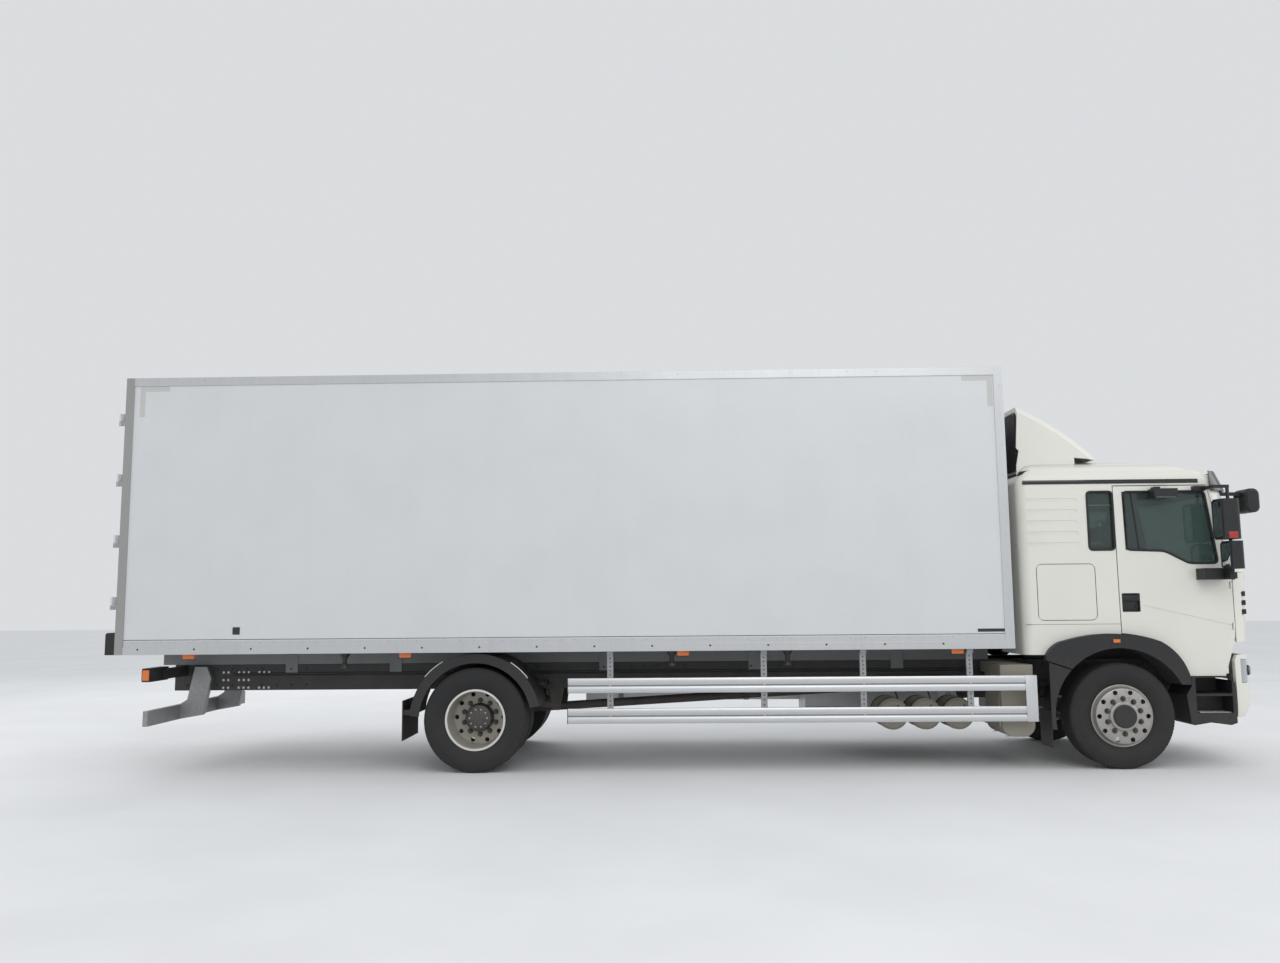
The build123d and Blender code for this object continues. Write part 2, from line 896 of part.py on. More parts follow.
with BuildPart() as cab_shell:
    extrude(cab_plan(cab_bottom, door_front), amount=cab_waist - cab_bottom)
    block(
        (front_axle + door_rear, front_axle + cab_depth),
        (-cab_half - 10, cab_half + 10),
        (cab_bottom - 10, cab_waist),
        mode=Mode.SUBTRACT,
    )
    add(nose_frame())
    add(pillar_solid(0))
    add(cabin_solid(), mode=Mode.SUBTRACT)
    # below the floor
    extrude(
        cab_plan(cab_bottom, door_front - 80, inset=cab_wall),
        amount=floor_bottom - cab_bottom,
        mode=Mode.SUBTRACT,
    )
    # engine tunnel, open at the rear wall and below
    block(
        (front_axle + cab_rear + cab_wall, front_axle + tunnel_front),
        (-tunnel_half, tunnel_half),
        (floor_bottom, tunnel_top),
    )
    block(
        (front_axle + cab_rear - 10, front_axle + tunnel_front - floor_wall),
        (floor_wall - tunnel_half, tunnel_half - floor_wall),
        (cab_bottom - 10, tunnel_top - floor_wall),
        mode=Mode.SUBTRACT,
    )
    # door openings, quarter windows and arches
    side_cut = door_wall + door_gap + 10
    for side in (-1, 1):
        outer = side_plane(side, cab_half + 10)
        with BuildSketch(outer):
            add(door_opening(door_gap))
        extrude(amount=side * side_cut, mode=Mode.SUBTRACT)
        with BuildSketch(outer):
            with Locations(quarter_window):
                RectangleRounded(quarter_length, quarter_height, quarter_corner)
        extrude(amount=side * side_cut, mode=Mode.SUBTRACT)
        with BuildSketch(outer):
            add(arch_cut())
            offset(amount=seat, kind=Kind.INTERSECTION)
        extrude(amount=side * side_cut, mode=Mode.SUBTRACT)
    extrude(windscreen_outline(), amount=400, mode=Mode.SUBTRACT)
    # pressed grooves beside the bunk and the edge of the storage hatch
    for side in (-1, 1):
        with BuildSketch(side_plane(side, cab_half)):
            with Locations((front_axle + groove_x, groove_z)):
                with GridLocations(1, groove_pitch, 1, groove_count):
                    Rectangle(groove_length, groove_height)
            with Locations((front_axle + hatch_x, hatch_z)):
                RectangleRounded(hatch_length, hatch_height, hatch_corner)
                RectangleRounded(
                    hatch_length - 2 * hatch_gap,
                    hatch_height - 2 * hatch_gap,
                    hatch_corner - hatch_gap,
                    mode=Mode.SUBTRACT,
                )
        extrude(amount=side * groove_depth, mode=Mode.SUBTRACT)
    # hinge lugs of the doors
    for side in (-1, 1):
        for z in door_hinges_z:
            high = (z - door_hinge_height / 2, z + door_hinge_height / 2)
            outer = door_axis_y + door_hinge_half
            inner = panel_inner - door_lug_depth
            lug_edge = panel_inner - door_lug_tuck
            for reach, edge in ((door_hinge_half, outer), (door_lug_length, lug_edge)):
                block(
                    (door_axis_x - door_hinge_half, door_axis_x + reach),
                    sorted((side * inner, side * edge)),
                    high,
                )
            with Locations((door_axis_x, side * door_axis_y, z)):
                Cylinder(
                    door_pin_radius + running, door_hinge_height + 2, mode=Mode.SUBTRACT
                )
    # tilt lugs
    for side in (-1, 1):
        lug_inner = pivot_inner + pivot_lug + 10
        with BuildSketch(side_plane(side, lug_inner)):
            with BuildLine():
                Polyline(
                    (front_axle + pivot_x - 28, pivot_z),
                    (front_axle + pivot_x + 28, pivot_z),
                    (front_axle + pivot_x - 14, pivot_z + 90),
                    (front_axle + pivot_x - 14, floor_bottom + 5),
                    (front_axle + pivot_x - 140, floor_bottom + 5),
                    close=True,
                )
            make_face()
            with Locations((front_axle + pivot_x, pivot_z)):
                Circle(28)
                Circle(pivot_radius + running, mode=Mode.SUBTRACT)
        extrude(amount=-side * pivot_lug)

# Cab roof: lofted cap, hollow below, on the black drip strip
# columns: height, rear, side front, half width
roof_rows = (
    (cab_top, cab_rear, pillar_top_front, cab_half),
    (cab_top + strip_height, cab_rear + 12, 930, cab_half),
    (2910, cab_rear + 65, 800, 1098),
    (2980, cab_rear + 125, 570, 1022),
    (3026, cab_rear + 260, 120, 850),
)
headroom = 2925


def roof_solid(inset, rows=roof_rows):
    """Roof cap; a negative inset makes the larger solid that clears it."""
    with BuildPart() as cap:
        for low, high in zip(rows, rows[1:]):
            sections = []
            for z, rear, side_front, half in (low, high):
                top = z - inset if z > cab_top else z
                sections.append(cab_plan(top, side_front, half, rear, inset))
            loft(sections, ruled=True)
    return cap.part


with BuildPart() as cab_roof:
    add(roof_solid(0))
    lean = lean_solid(cab_top, headroom, pillar_top_front - 20, 780, cab_wall)
    add(lean, mode=Mode.SUBTRACT)

# Front panel below the windscreen, with corner slots, and its grille
def grille_opening(clearance=0):
    """Opening of the grille in Y and Z."""
    with BuildSketch(Plane.YZ.offset(front_axle + door_front)) as face:
        with Locations((0, (grille_bottom + grille_top) / 2)):
            Rectangle(
                2 * (grille_half - clearance), grille_top - grille_bottom - 2 * clearance
            )
    return face.sketch


with BuildPart() as front_panel:
    add(nose_solid(panel_bottom, 0))
    add(nose_solid(panel_bottom, panel_wall), mode=Mode.SUBTRACT)
    block(
        (front_axle + door_front + hinge_gap, front_axle + cab_depth),
        (-cab_half, cab_half),
        (panel_bottom, panel_top),
        mode=Mode.INTERSECT,
    )
    extrude(grille_opening(), amount=500, mode=Mode.SUBTRACT)
    # air slots at each corner
    for z in slots_z:
        for side in (-1, 1):
            slot = (front_axle + door_front + 130, side * (cab_half - 60), z)
            with Locations(Location(slot, (0, -12, -side * 38))):
                Box(90, 120, slot_height, mode=Mode.SUBTRACT)

with BuildPart() as grille:
    add(nose_solid(panel_bottom, 2))
    add(nose_solid(panel_bottom, panel_wall), mode=Mode.SUBTRACT)
    extrude(grille_opening(seat), amount=500, mode=Mode.INTERSECT)
    with BuildSketch(Plane.YZ.offset(front_axle + door_front)):
        with Locations((0, (grille_bottom + grille_top) / 2)):
            with GridLocations(1, grille_pitch, 1, grille_bars):
                Rectangle(2 * grille_half - 90, grille_pitch - 34)
    extrude(amount=500, mode=Mode.SUBTRACT)

# Glass of the cab: windscreen and quarter windows
with BuildPart() as cab_glass:
    add(pillar_solid(glass_inset))
    add(pillar_solid(glass_inset + window_wall), mode=Mode.SUBTRACT)
    extrude(windscreen_outline(seat), amount=400, mode=Mode.INTERSECT)
    for side in (-1, 1):
        with BuildSketch(side_plane(side, cab_half - 24)):
            with Locations(quarter_window):
                RectangleRounded(
                    quarter_length - 2 * seat, quarter_height - 2 * seat, quarter_corner
                )
        extrude(amount=side * window_wall)

# Cab doors with their windows, notches and pins for the hinges
with BuildPart() as door_right:
    with BuildSketch(right_plane(cab_half - door_wall)):
        add(door_face_outline())
        add(window_outline(), mode=Mode.SUBTRACT)
    extrude(amount=door_wall)
    # recess and grip of the handle
    handle_z = handle_bottom + handle_height / 2
    with BuildSketch(right_plane(cab_half)):
        with Locations((front_axle + handle_x, handle_z)):
            RectangleRounded(handle_length, handle_height, 22)
    extrude(amount=-handle_recess, mode=Mode.SUBTRACT)
    block(
        (front_axle + handle_x - 82, front_axle + handle_x + 80),
        (-cab_half, handle_recess + 7 - cab_half),
        (handle_z + 20, handle_z + 62),
    )
    # crease that falls towards the front
    with BuildSketch(right_plane(cab_half)):
        with BuildLine():
            Polyline(
                (front_axle + 290, 1572),
                (front_axle + door_front, 1367),
                (front_axle + door_front, 1355),
                (front_axle + 290, 1560),
                close=True,
            )
        make_face()
    extrude(amount=-groove_depth, mode=Mode.SUBTRACT)
    for z in door_hinges_z:
        half = door_hinge_height / 2 + 2
        block(
            (door_axis_x - door_notch, door_axis_x + door_notch),
            (-cab_half - 1, door_wall - cab_half),
            (z - half, z + half),
            mode=Mode.SUBTRACT,
        )
        with Locations((door_axis_x, -door_axis_y, z)):
            Cylinder(door_pin_radius, 2 * half + 6)
with BuildPart() as door_left:
    mirror(door_right.part, about=Plane.XZ)
with BuildPart() as door_window_right:
    with BuildSketch(right_plane(cab_half - 24)):
        add(window_outline())
        offset(amount=-seat, kind=Kind.INTERSECTION)
    extrude(amount=window_wall)
with BuildPart() as door_window_left:
    mirror(door_window_right.part, about=Plane.XZ)

# Arch flares on the cab, with the liner over the wheel
with BuildPart() as arch_flares:
    with BuildSketch(right_plane(flare_half - flare_depth)):
        add(flare_face())
    extrude(amount=flare_depth)
    with BuildSketch(right_plane(flare_half - flare_depth)):
        add(flare_face(arch_wall))
    extrude(amount=flare_depth - arch_wall, mode=Mode.SUBTRACT)
    with BuildSketch(right_plane(kingpin_y)):
        with BuildLine():
            outer = arch_radius + arch_wall
            Line(arch_point(arch_front_angle), arch_point(arch_front_angle, outer))
            ThreePointArc(
                arch_point(arch_front_angle, outer),
                arch_point(80, outer),
                arch_point(seam_angle, outer),
            )
            Line(arch_point(seam_angle, outer), arch_point(seam_angle))
            ThreePointArc(
                arch_point(seam_angle), arch_point(80), arch_point(arch_front_angle)
            )
        make_face()
    extrude(amount=flare_half - flare_depth - kingpin_y)
    # bracket up to the cab floor
    block(
        (front_axle - 30, front_axle + 30),
        (-kingpin_y - 60, -kingpin_y),
        (axle_z + arch_radius + 2, floor_bottom),
    )
    mirror(about=Plane.XZ)

# Roof fairing: sloped hood, open behind, with cheeks that seat on the roof
def fairing_section(half, wall, open_end):
    """Side outline of the hood at half width, a wall smaller, with open ends."""
    x = front_axle
    top = (x - 803 - open_end, fairing_top - wall)
    tip = (x - 22 - 2 * wall, 3062 - wall / 2)
    with BuildSketch(right_plane(half)) as face:
        with BuildLine():
            ThreePointArc(top, (x - 400 - wall * 0.6, 3376 - wall), tip)
            if open_end:
                Polyline(tip, (tip[0], 2990), (top[0], 2990), top)
            else:
                Polyline(
                    tip,
                    (tip[0], 3042),
                    (x - 421, 3079),
                    (x - 790, 3125),
                    (x - 832, 3170),
                    top,
                )
        make_face()
    return face.sketch


def fairing_solid(wall, open_end):
    """Hood of the fairing with bevelled long edges."""
    half = fairing_half - wall
    with BuildPart() as hood:
        extrude(fairing_section(half, wall, open_end), amount=-2 * half)
        ridge = hood.edges().filter_by(GeomType.CIRCLE).group_by(Axis.Y)
        chamfer(ridge[0] + ridge[-1], length=fairing_bevel - wall / 2)
    return hood.part


with BuildPart() as roof_fairing:
    x = front_axle
    add(fairing_solid(0, 0))
    add(fairing_solid(fairing_wall, 120), mode=Mode.SUBTRACT)
    for y in (fairing_half, fairing_wall - fairing_half):
        with BuildSketch(right_plane(y)):
            with BuildLine():
                Polyline(
                    (x - 805, 3145),
                    (x - 250, 3085),
                    (x - 250, 2960),
                    (x - 845, 2830),
                    (x - 835, 3000),
                    close=True,
                )
            make_face()
        extrude(amount=-fairing_wall)
    add(roof_solid(-seat), mode=Mode.SUBTRACT)


# Sun visor across the top of the windscreen, on stays to the roof edge
def visor_solid(inset):
    """Prism that the visor is a slice of, a little larger than the cab's nose."""
    return lean_solid(
        visor_bottom,
        visor_top,
        pillar_top_front + 55,
        pillar_top_front - 40,
        inset,
    )


def visor_stays():
    """Four short stays, cut to the slope of the roof edge."""
    with BuildPart() as stays:
        for y in (-880, -560, 560, 880):
            block(
                (front_axle + 1040, front_axle + 1175 + (880 - abs(y)) * 0.09),
                (y - 18, y + 18),
                (2838, 2868),
            )
        add(roof_solid(-seat), mode=Mode.SUBTRACT)
    return stays.part


with BuildPart() as sun_visor:
    add(visor_solid(-22))
    add(visor_solid(-10), mode=Mode.SUBTRACT)
    block(
        (front_axle + visor_rear, front_axle + cab_depth),
        (-cab_half - 60, cab_half + 60),
        (visor_bottom, visor_top),
        mode=Mode.INTERSECT,
    )
    add(visor_stays())


# Front mirror, a rounded housing on an arm from the pillar
def mirror_arm():
    """Arm of the front mirror, cut to the slope of the pillar."""
    with BuildPart() as arm:
        block((front_axle + 1120, mirror_x - 60), (-1020, -985), (2655, 2690))
        add(pillar_solid(-seat), mode=Mode.SUBTRACT)
    return arm.part


mirror_x = front_axle + front_overhang
with BuildPart() as front_mirror:
    with BuildSketch(right_plane(885)):
        with Locations((mirror_x - 72, 2600)):
            RectangleRounded(144, 240, 60)
    extrude(amount=230)
    chamfer(front_mirror.faces().sort_by(Axis.Y)[0].edges(), length=22)
    add(mirror_arm())

# Mirrors of a door: two housings on a bracket
with BuildPart() as mirrors_right:
    x = front_axle
    # columns: middle in X, middle in Z, length, height
    for mid_x, mid_z, length, height in ((1018, 2393, 182, 389), (1053, 2047, 138, 267)):
        with BuildSketch(Plane.XY.offset(mid_z - height / 2)):
            with Locations((x + mid_x, -1390)):
                RectangleRounded(length, 200, 45)
        extrude(amount=height)
    with BuildSketch(Plane.XY.offset(1810)):
        with Locations((x + 1040, -1390)):
            Circle(16)
    extrude(amount=910)
    for z0, z1, x0, x1, y1 in (
        (1815, 1925, 823, 1085, -1290),
        (2692, 2742, 830, 940, -1180),
    ):
        block((x + x0, x + x1), (y1, -cab_half), (z0, z1))
    block((x + 1005, x + 1075), (-1400, -1250), (1820, 1880))
    block((x + 900, x + 940), (-1400, -1150), (2698, 2728))
    block((x + 900, x + 1055), (-1402, -1372), (2698, 2728))
    # kerb mirror over the window
    with Locations((x + 500, -1230, 2668)):
        Box(230, 130, 84)
    block((x + 430, x + 480), (-1220, -cab_half), (2705, 2735))
with BuildPart() as mirrors_left:
    mirror(mirrors_right.part, about=Plane.XZ)

# Inside the cab: two seats and a bunk
with BuildPart() as seats:
    floor_z = floor_bottom + floor_wall
    for y in (-700, 700):
        x = front_axle + 380
        block((x - 170, x + 170), (y - 170, y + 170), (floor_z, floor_z + 260))
        with BuildSketch(right_plane(-y + 235)):
            with BuildLine():
                FilletPolyline(
                    (x - 250, floor_z + 250),
                    (x + 270, floor_z + 250),
                    (x + 270, floor_z + 390),
                    (x - 130, floor_z + 370),
                    (x - 250, floor_z + 1050),
                    (x - 390, floor_z + 1050),
                    (x - 300, floor_z + 380),
                    radius=30,
                    close=True,
                )
            make_face()
        extrude(amount=-470)
    with BuildSketch(Plane.XY.offset(tunnel_top)):
        with Locations((front_axle + cab_rear + cab_wall + 255, 0)):
            RectangleRounded(500, 1900, 40)
    extrude(amount=120)

# Dashboard and steering wheel
with BuildPart() as dashboard:
    x = front_axle
    with BuildSketch(right_plane(1040)):
        with BuildLine():
            Polyline(
                (x + 1040, 1560),
                (x + 1160, 1560),
                (x + 1160, 1870),
                (x + 1120, 1925),
                (x + 1000, 1900),
                (x + 985, 1760),
                close=True,
            )
        make_face()
    extrude(amount=-2080)
    block((x + 1040, x + 1140), (-150, 150), (floor_bottom + floor_wall, 1600))
    wheel_pose = Plane(origin=(x + 850, 620, 1985), z_dir=(-0.55, 0, 0.83))
    with BuildSketch(wheel_pose):
        RegularPolygon(radius=240, side_count=20)
        RegularPolygon(radius=212, side_count=20, mode=Mode.SUBTRACT)
        Circle(70)
        Rectangle(430, 45)
        with Locations((0, -110)):
            Rectangle(45, 210)
    extrude(amount=12, both=True)
    with BuildSketch(wheel_pose):
        Circle(35)
    extrude(amount=-220)

# Bumper: bowed band with a tucked chin, lamp corners and lower grille
def bumper_core():
    """Room behind the bumper's wall."""
    with BuildPart() as core:
        extrude(
            bumper_plan(bumper_bottom - 20, tuck=chin_tuck, inset=bumper_wall),
            amount=bumper_chin - 15 - bumper_bottom,
        )
        extrude(
            bumper_plan(bumper_chin - 40, inset=bumper_wall),
            amount=bumper_top - bumper_chin + 60,
        )
    return core.part


with BuildPart() as bumper:
    extrude(bumper_plan(bumper_chin), amount=bumper_top - bumper_chin)
    chin = Vector(chin_tuck, 0, bumper_chin - bumper_bottom)
    extrude(
        bumper_plan(bumper_bottom, tuck=chin_tuck),
        amount=chin.length,
        dir=chin.normalized(),
    )
    add(bumper_core(), mode=Mode.SUBTRACT)
    block(
        (front_axle + bumper_rear, front_axle + cab_depth),
        (-bumper_half, bumper_half),
        (bumper_bottom, bumper_top),
        mode=Mode.INTERSECT,
    )
    for side in (-1, 1):
        block(
            (front_axle + lamp_rear, front_axle + cab_depth),
            sorted((side * lamp_inner, side * (bumper_half + 20))),
            (lamp_bottom, lamp_top),
            mode=Mode.SUBTRACT,
        )
    # slanted rear corners, so that the doors swing clear
    x = front_axle + bumper_rear
    with BuildSketch(right_plane(bumper_half + 1)):
        with BuildLine():
            Polyline(
                (x - 1, bumper_top - 46),
                (x + 27, bumper_top + 1),
                (x - 1, bumper_top + 1),
                close=True,
            )
        make_face()
    extrude(amount=-2 * bumper_half - 2, mode=Mode.SUBTRACT)
    # air openings
    with BuildSketch(Plane.YZ.offset(front_axle + lamp_rear)):
        for z, width, height in ((930, 1240, 130), (780, 1140, 60)):
            with Locations((0, z)):
                Rectangle(width, height)
    extrude(amount=500, mode=Mode.SUBTRACT)

# Head lamps: curved blocks in the corners of the bumper
with BuildPart() as headlamps:
    lamp_high = lamp_top - lamp_bottom - 2 * seat
    extrude(bumper_plan(lamp_bottom + seat, inset=4), amount=lamp_high)
    extrude(
        bumper_plan(lamp_bottom + seat, inset=bumper_wall - 2),
        amount=lamp_high,
        mode=Mode.SUBTRACT,
    )
    block(
        (front_axle + lamp_rear + seat, front_axle + 2000),
        (-bumper_half, bumper_half),
        (lamp_bottom, lamp_top),
        mode=Mode.INTERSECT,
    )
    block(
        (front_axle, front_axle + 2000),
        (-lamp_inner - seat, lamp_inner + seat),
        (lamp_bottom, lamp_top),
        mode=Mode.SUBTRACT,
    )

# Step wells below the doors
with BuildPart() as step_wells:
    x = front_axle
    with BuildSketch(right_plane(step_inner)):
        with BuildLine():
            Polyline(
                (x + step_rear, 700),
                (x + step_rear + 30, step_bottom + 25),
                (x + step_rear + 60, step_bottom),
                (x + 850, step_bottom + 25),
                (x + step_front - 60, step_bottom),
                (x + step_front, step_bottom + 20),
                (x + step_front, step_top - 60),
                (x + step_front - 60, step_top),
                (x + step_rear + 55, step_top),
                (x + step_rear + 55, 790),
                close=True,
            )
        make_face()
    extrude(amount=step_outer - step_inner)
    for z0, z1, inner in ((step_tread, 690, 960), (712, step_top - 2, 860)):
        with BuildSketch(right_plane(inner)):
            with Locations((x + (step_rear + step_front) / 2 + 30, (z0 + z1) / 2)):
                RectangleRounded(step_front - step_rear - 120, z1 - z0, 12)
        extrude(amount=step_outer - inner + 10, mode=Mode.SUBTRACT)
    # arm to the frame rail
    block(
        (x + 900, x + 980),
        (-step_inner, -frame_half),
        (rail_bottom + 20, rail_bottom + 90),
    )
    mirror(about=Plane.XZ)

# Rear halves of the front mudguards, on the frame, with flaps
with BuildPart() as front_mudguards:
    x = front_axle
    with BuildSketch(right_plane(kingpin_y)):
        with BuildLine():
            outer = arch_radius + arch_wall
            low = arch_point(mudguard_end_angle)
            start = arch_point(seam_angle + 1)
            start_out = arch_point(seam_angle + 1, outer)
            low_out = arch_point(mudguard_end_angle, outer)
            ThreePointArc(start, arch_point(165), low)
            Line(low, low_out)
            ThreePointArc(low_out, arch_point(165, outer), start_out)
            Line(start_out, start)
        make_face()
    extrude(amount=flare_half - kingpin_y)
    with BuildSketch(right_plane(flare_half - 14)):
        with BuildLine():
            ThreePointArc(start, arch_point(165), low)
            Line(low, (x - mudguard_back, low[1]))
            Line((x - mudguard_back, low[1]), (x - mudguard_back, 1024))
            Line((x - mudguard_back, 1024), start)
        make_face()
    extrude(amount=14)
    block(
        (x - mudguard_back, x - mudguard_back + 8),
        (-flare_half + 20, -kingpin_y),
        (flap_bottom, 560),
    )
    block(
        (x - mudguard_back, x - arch_radius),
        (-flare_half + 20, -kingpin_y),
        (480, 520),
    )
    # carrier to the frame rail
    block(
        (x - mudguard_back, x - mudguard_back + 45),
        (-kingpin_y - 40, -frame_half),
        (780, 825),
    )
    block(
        (x - mudguard_back, x - 590),
        (-kingpin_y - 40, -kingpin_y),
        (780, 825),
    )
    mirror(about=Plane.XZ)

# Front axle: dropped beam with an eye at each kingpin
with BuildPart() as front_axle_beam:
    with BuildSketch(Plane.YZ.offset(front_axle - 45)):
        with BuildLine():
            eye = axle_eye_height / 2
            Polyline(
                (-kingpin_y, axle_z + eye),
                (-kingpin_y + 90, axle_z + eye),
                (-560, 480),
                (560, 480),
                (kingpin_y - 90, axle_z + eye),
                (kingpin_y, axle_z + eye),
                (kingpin_y, axle_z - eye),
                (kingpin_y - 80, axle_z - eye),
                (540, 385),
                (-540, 385),
                (-kingpin_y + 80, axle_z - eye),
                (-kingpin_y, axle_z - eye),
                close=True,
            )
        make_face()
    extrude(amount=90)
    for side in (-1, 1):
        with Locations((front_axle, side * kingpin_y, axle_z)):
            Cylinder(knuckle_radius, axle_eye_height)
            Cylinder(
                kingpin_radius + running, axle_eye_height + 20, mode=Mode.SUBTRACT
            )
        for end in (-1, 1):
            block(
                (front_axle + end * 31 - 14, front_axle + end * 31 + 14),
                (-520, 520),
                (402, 463),
                mode=Mode.SUBTRACT,
            )

# Steering knuckles with kingpin, spindle and steering arm
with BuildPart() as knuckle_right:
    lug_height = 50
    lug_gap = 2
    lug_z = axle_eye_height / 2 + lug_gap
    with Locations((front_axle, -kingpin_y, axle_z)):
        Cylinder(kingpin_radius, axle_eye_height + 2 * (lug_gap + lug_height))
    for end in (-1, 1):
        z = axle_z + end * (lug_z + lug_height / 2)
        with Locations((front_axle, -kingpin_y, z)):
            Cylinder(knuckle_radius, lug_height)
        block(
            (front_axle - knuckle_radius, front_axle + knuckle_radius),
            (-kingpin_y - 105, -kingpin_y),
            (z - lug_height / 2, z + lug_height / 2),
        )
    block(
        (front_axle - 75, front_axle + 75),
        (-kingpin_y - 105, -kingpin_y - 61),
        (axle_z - lug_z - lug_height, axle_z + lug_z + lug_height),
    )
    arm_z = axle_z - lug_z - lug_height / 2
    block(
        (front_axle - steering_arm, front_axle),
        (-kingpin_y - 22, -kingpin_y + 22),
        (arm_z - 18, arm_z + 18),
    )
    with Locations((front_axle - steering_arm, -kingpin_y, arm_z)):
        Cylinder(30, 36)
    pin_bottom = axle_z - tie_rod_drop - 26
    with Locations((front_axle - steering_arm, -kingpin_y, (arm_z + pin_bottom) / 2)):
        Cylinder(12, arm_z - pin_bottom)
    spindle_start = -kingpin_y - 100
    spindle_end = -(front_wheel_y + spindle_reach)
    with BuildSketch(Plane.XZ.offset(-spindle_start)):
        with Locations((front_axle, axle_z)):
            Circle(spindle_radius)
    extrude(amount=spindle_start - spindle_end)
with BuildPart() as knuckle_left:
    mirror(knuckle_right.part, about=Plane.XZ)

# Tie rod between the steering arms
with BuildPart() as tie_rod:
    rod_z = axle_z - tie_rod_drop
    with BuildSketch(Plane.XZ.offset(kingpin_y - 32)):
        with Locations((front_axle - steering_arm, rod_z)):
            Circle(tie_rod_radius)
    extrude(amount=-2 * (kingpin_y - 32))
    for side in (-1, 1):
        with Locations((front_axle - steering_arm, side * kingpin_y, rod_z)):
            Cylinder(34, 44)
            Cylinder(12 + running, 60, mode=Mode.SUBTRACT)

# Wheels: rim with a vented disc, hub and brake disc; tyres
def drum(x, near, far, radius):
    """Solid with many flats round the axle at x, between two lateral planes."""
    plane = Plane(origin=(x, far, axle_z), x_dir=(1, 0, 0), z_dir=(0, -1, 0))
    with BuildSketch(plane) as face:
        RegularPolygon(
            radius, side_count=wheel_flats, major_radius=False, rotation=180 / wheel_flats
        )
    return extrude(face.sketch, amount=far - near, mode=Mode.PRIVATE)


def end_edges(part, end, ring=None):
    """The edges round one lateral end of a wheel: 0 for the right, -1 for the left."""
    face = part.faces().sort_by(Axis.Y)[end]
    wire = face.outer_wire() if ring is None else face.inner_wires()[ring]
    return face, wire.edges()


def tyre_solid():
    """Tyre round the origin's axle plane: tread, slanted shoulders and beads."""
    half = tyre_width / 2
    with BuildPart() as tyre:
        add(drum(0, -half, half, tyre_radius))
        for end in (0, -1):
            face, edges = end_edges(tyre, end)
            shoulder = tyre_radius - shoulder_radius
            chamfer(edges, shoulder, half - tread_half, reference=face)
        add(drum(0, -half, half, bead_radius), mode=Mode.SUBTRACT)
        for end in (0, -1):
            face, edges = end_edges(tyre, end, ring=0)
            chamfer(edges, bead_wall, half - bead_half, reference=face)
    return tyre.part


tyre_shape = tyre_solid()


def tyre_part(x, centres):
    with BuildPart() as tyre:
        for centre in centres:
            with Locations((x, centre, 0)):
                add(tyre_shape)
    return tyre


def rim_solid(x, centre, disc_side):
    """Rim at a lateral centre; its dished disc is at +Y for 1 and at -Y for -1."""
    barrel = bead_radius - seat
    inside = barrel - rim_wall
    bead = bead_half + bead_rise + seat
    lip = bead + flange_wall
    disc_outer = disc_offset + disc_wall
    with BuildPart() as rim:
        add(drum(x, centre - lip, centre + lip, flange_radius))
        well = drum(x, centre - bead, centre + bead, flange_radius + 1)
        add(well, mode=Mode.SUBTRACT)
        add(drum(x, centre - bead - 1, centre + bead + 1, barrel))
        add(drum(x, centre - lip, centre + lip, inside), mode=Mode.SUBTRACT)
        add(dish_solid(x, centre, disc_side, lip - 2 * rim_wall, disc_outer, 0))
        room = dish_solid(x, centre, disc_side, lip - 3 * rim_wall, disc_offset, rim_wall)
        add(room, mode=Mode.SUBTRACT)
    return rim.part


def dish_solid(x, centre, disc_side, start, end, inset):
    """Dish of a rim from one lateral distance to another, slanted at its edge."""
    radius = bead_radius - rim_wall - inset
    near, far = sorted((centre + disc_side * start, centre + disc_side * end))
    with BuildPart() as dish:
        add(drum(x, near, far, radius))
        face, edges = end_edges(dish, -1 if disc_side > 0 else 0)
        chamfer(edges, radius + inset - disc_radius, disc_slant, reference=face)
    return dish.part


def hub_solid(x, y, section):
    """Stack of round steps outwards from the plane y on the right-hand side."""
    with BuildPart() as hub:
        for near, far, radius in section:
            plane = Plane(origin=(x, y - near, axle_z), x_dir=(1, 0, 0), z_dir=(0, -1, 0))
            with BuildSketch(plane) as face:
                Circle(radius)
            extrude(face.sketch, amount=far - near)
    return hub.part


def vent_holes(x, y):
    """Ring of vent holes on the plane at y that faces -Y."""
    plane = Plane(origin=(x, y, axle_z), x_dir=(1, 0, 0), z_dir=(0, -1, 0))
    with BuildSketch(plane) as holes:
        with PolarLocations(vent_circle, vent_count):
            RegularPolygon(radius=vent_radius, side_count=8)
    return holes.sketch


tyre_front_right = tyre_part(front_axle, (-front_wheel_y,))
rear_outer_y = rear_pair_y + disc_offset + disc_wall
rear_inner_y = rear_pair_y - disc_offset - disc_wall
tyres_rear_right = tyre_part(rear_axle, (-rear_outer_y, -rear_inner_y))

# columns of a hub: from and to, outwards from the plane of the rim or the pair; radius
hub_front = (
    (-brake_wall, 0, brake_radius),
    (0, disc_offset, hub_radius - 34),
    (disc_offset, disc_offset + disc_wall, hub_radius + 2),
    (disc_offset + disc_wall, disc_offset + disc_wall + hub_cap, hub_radius - 14),
)
hub_rear = (
    (-210, -disc_wall, drum_radius),
    (-disc_wall, disc_wall, hub_radius + 2),
    (disc_wall, hub_length, hub_radius - 4),
)
with BuildPart() as rim_front_right:
    add(rim_solid(front_axle, -front_wheel_y, -1))
    add(hub_solid(front_axle, -front_wheel_y, hub_front))
    bore = ((-brake_wall, spindle_reach + running, spindle_radius + running),)
    add(hub_solid(front_axle, -front_wheel_y, bore), mode=Mode.SUBTRACT)
    holes = vent_holes(front_axle, -front_wheel_y - disc_offset)
    extrude(holes, amount=disc_wall, mode=Mode.SUBTRACT)

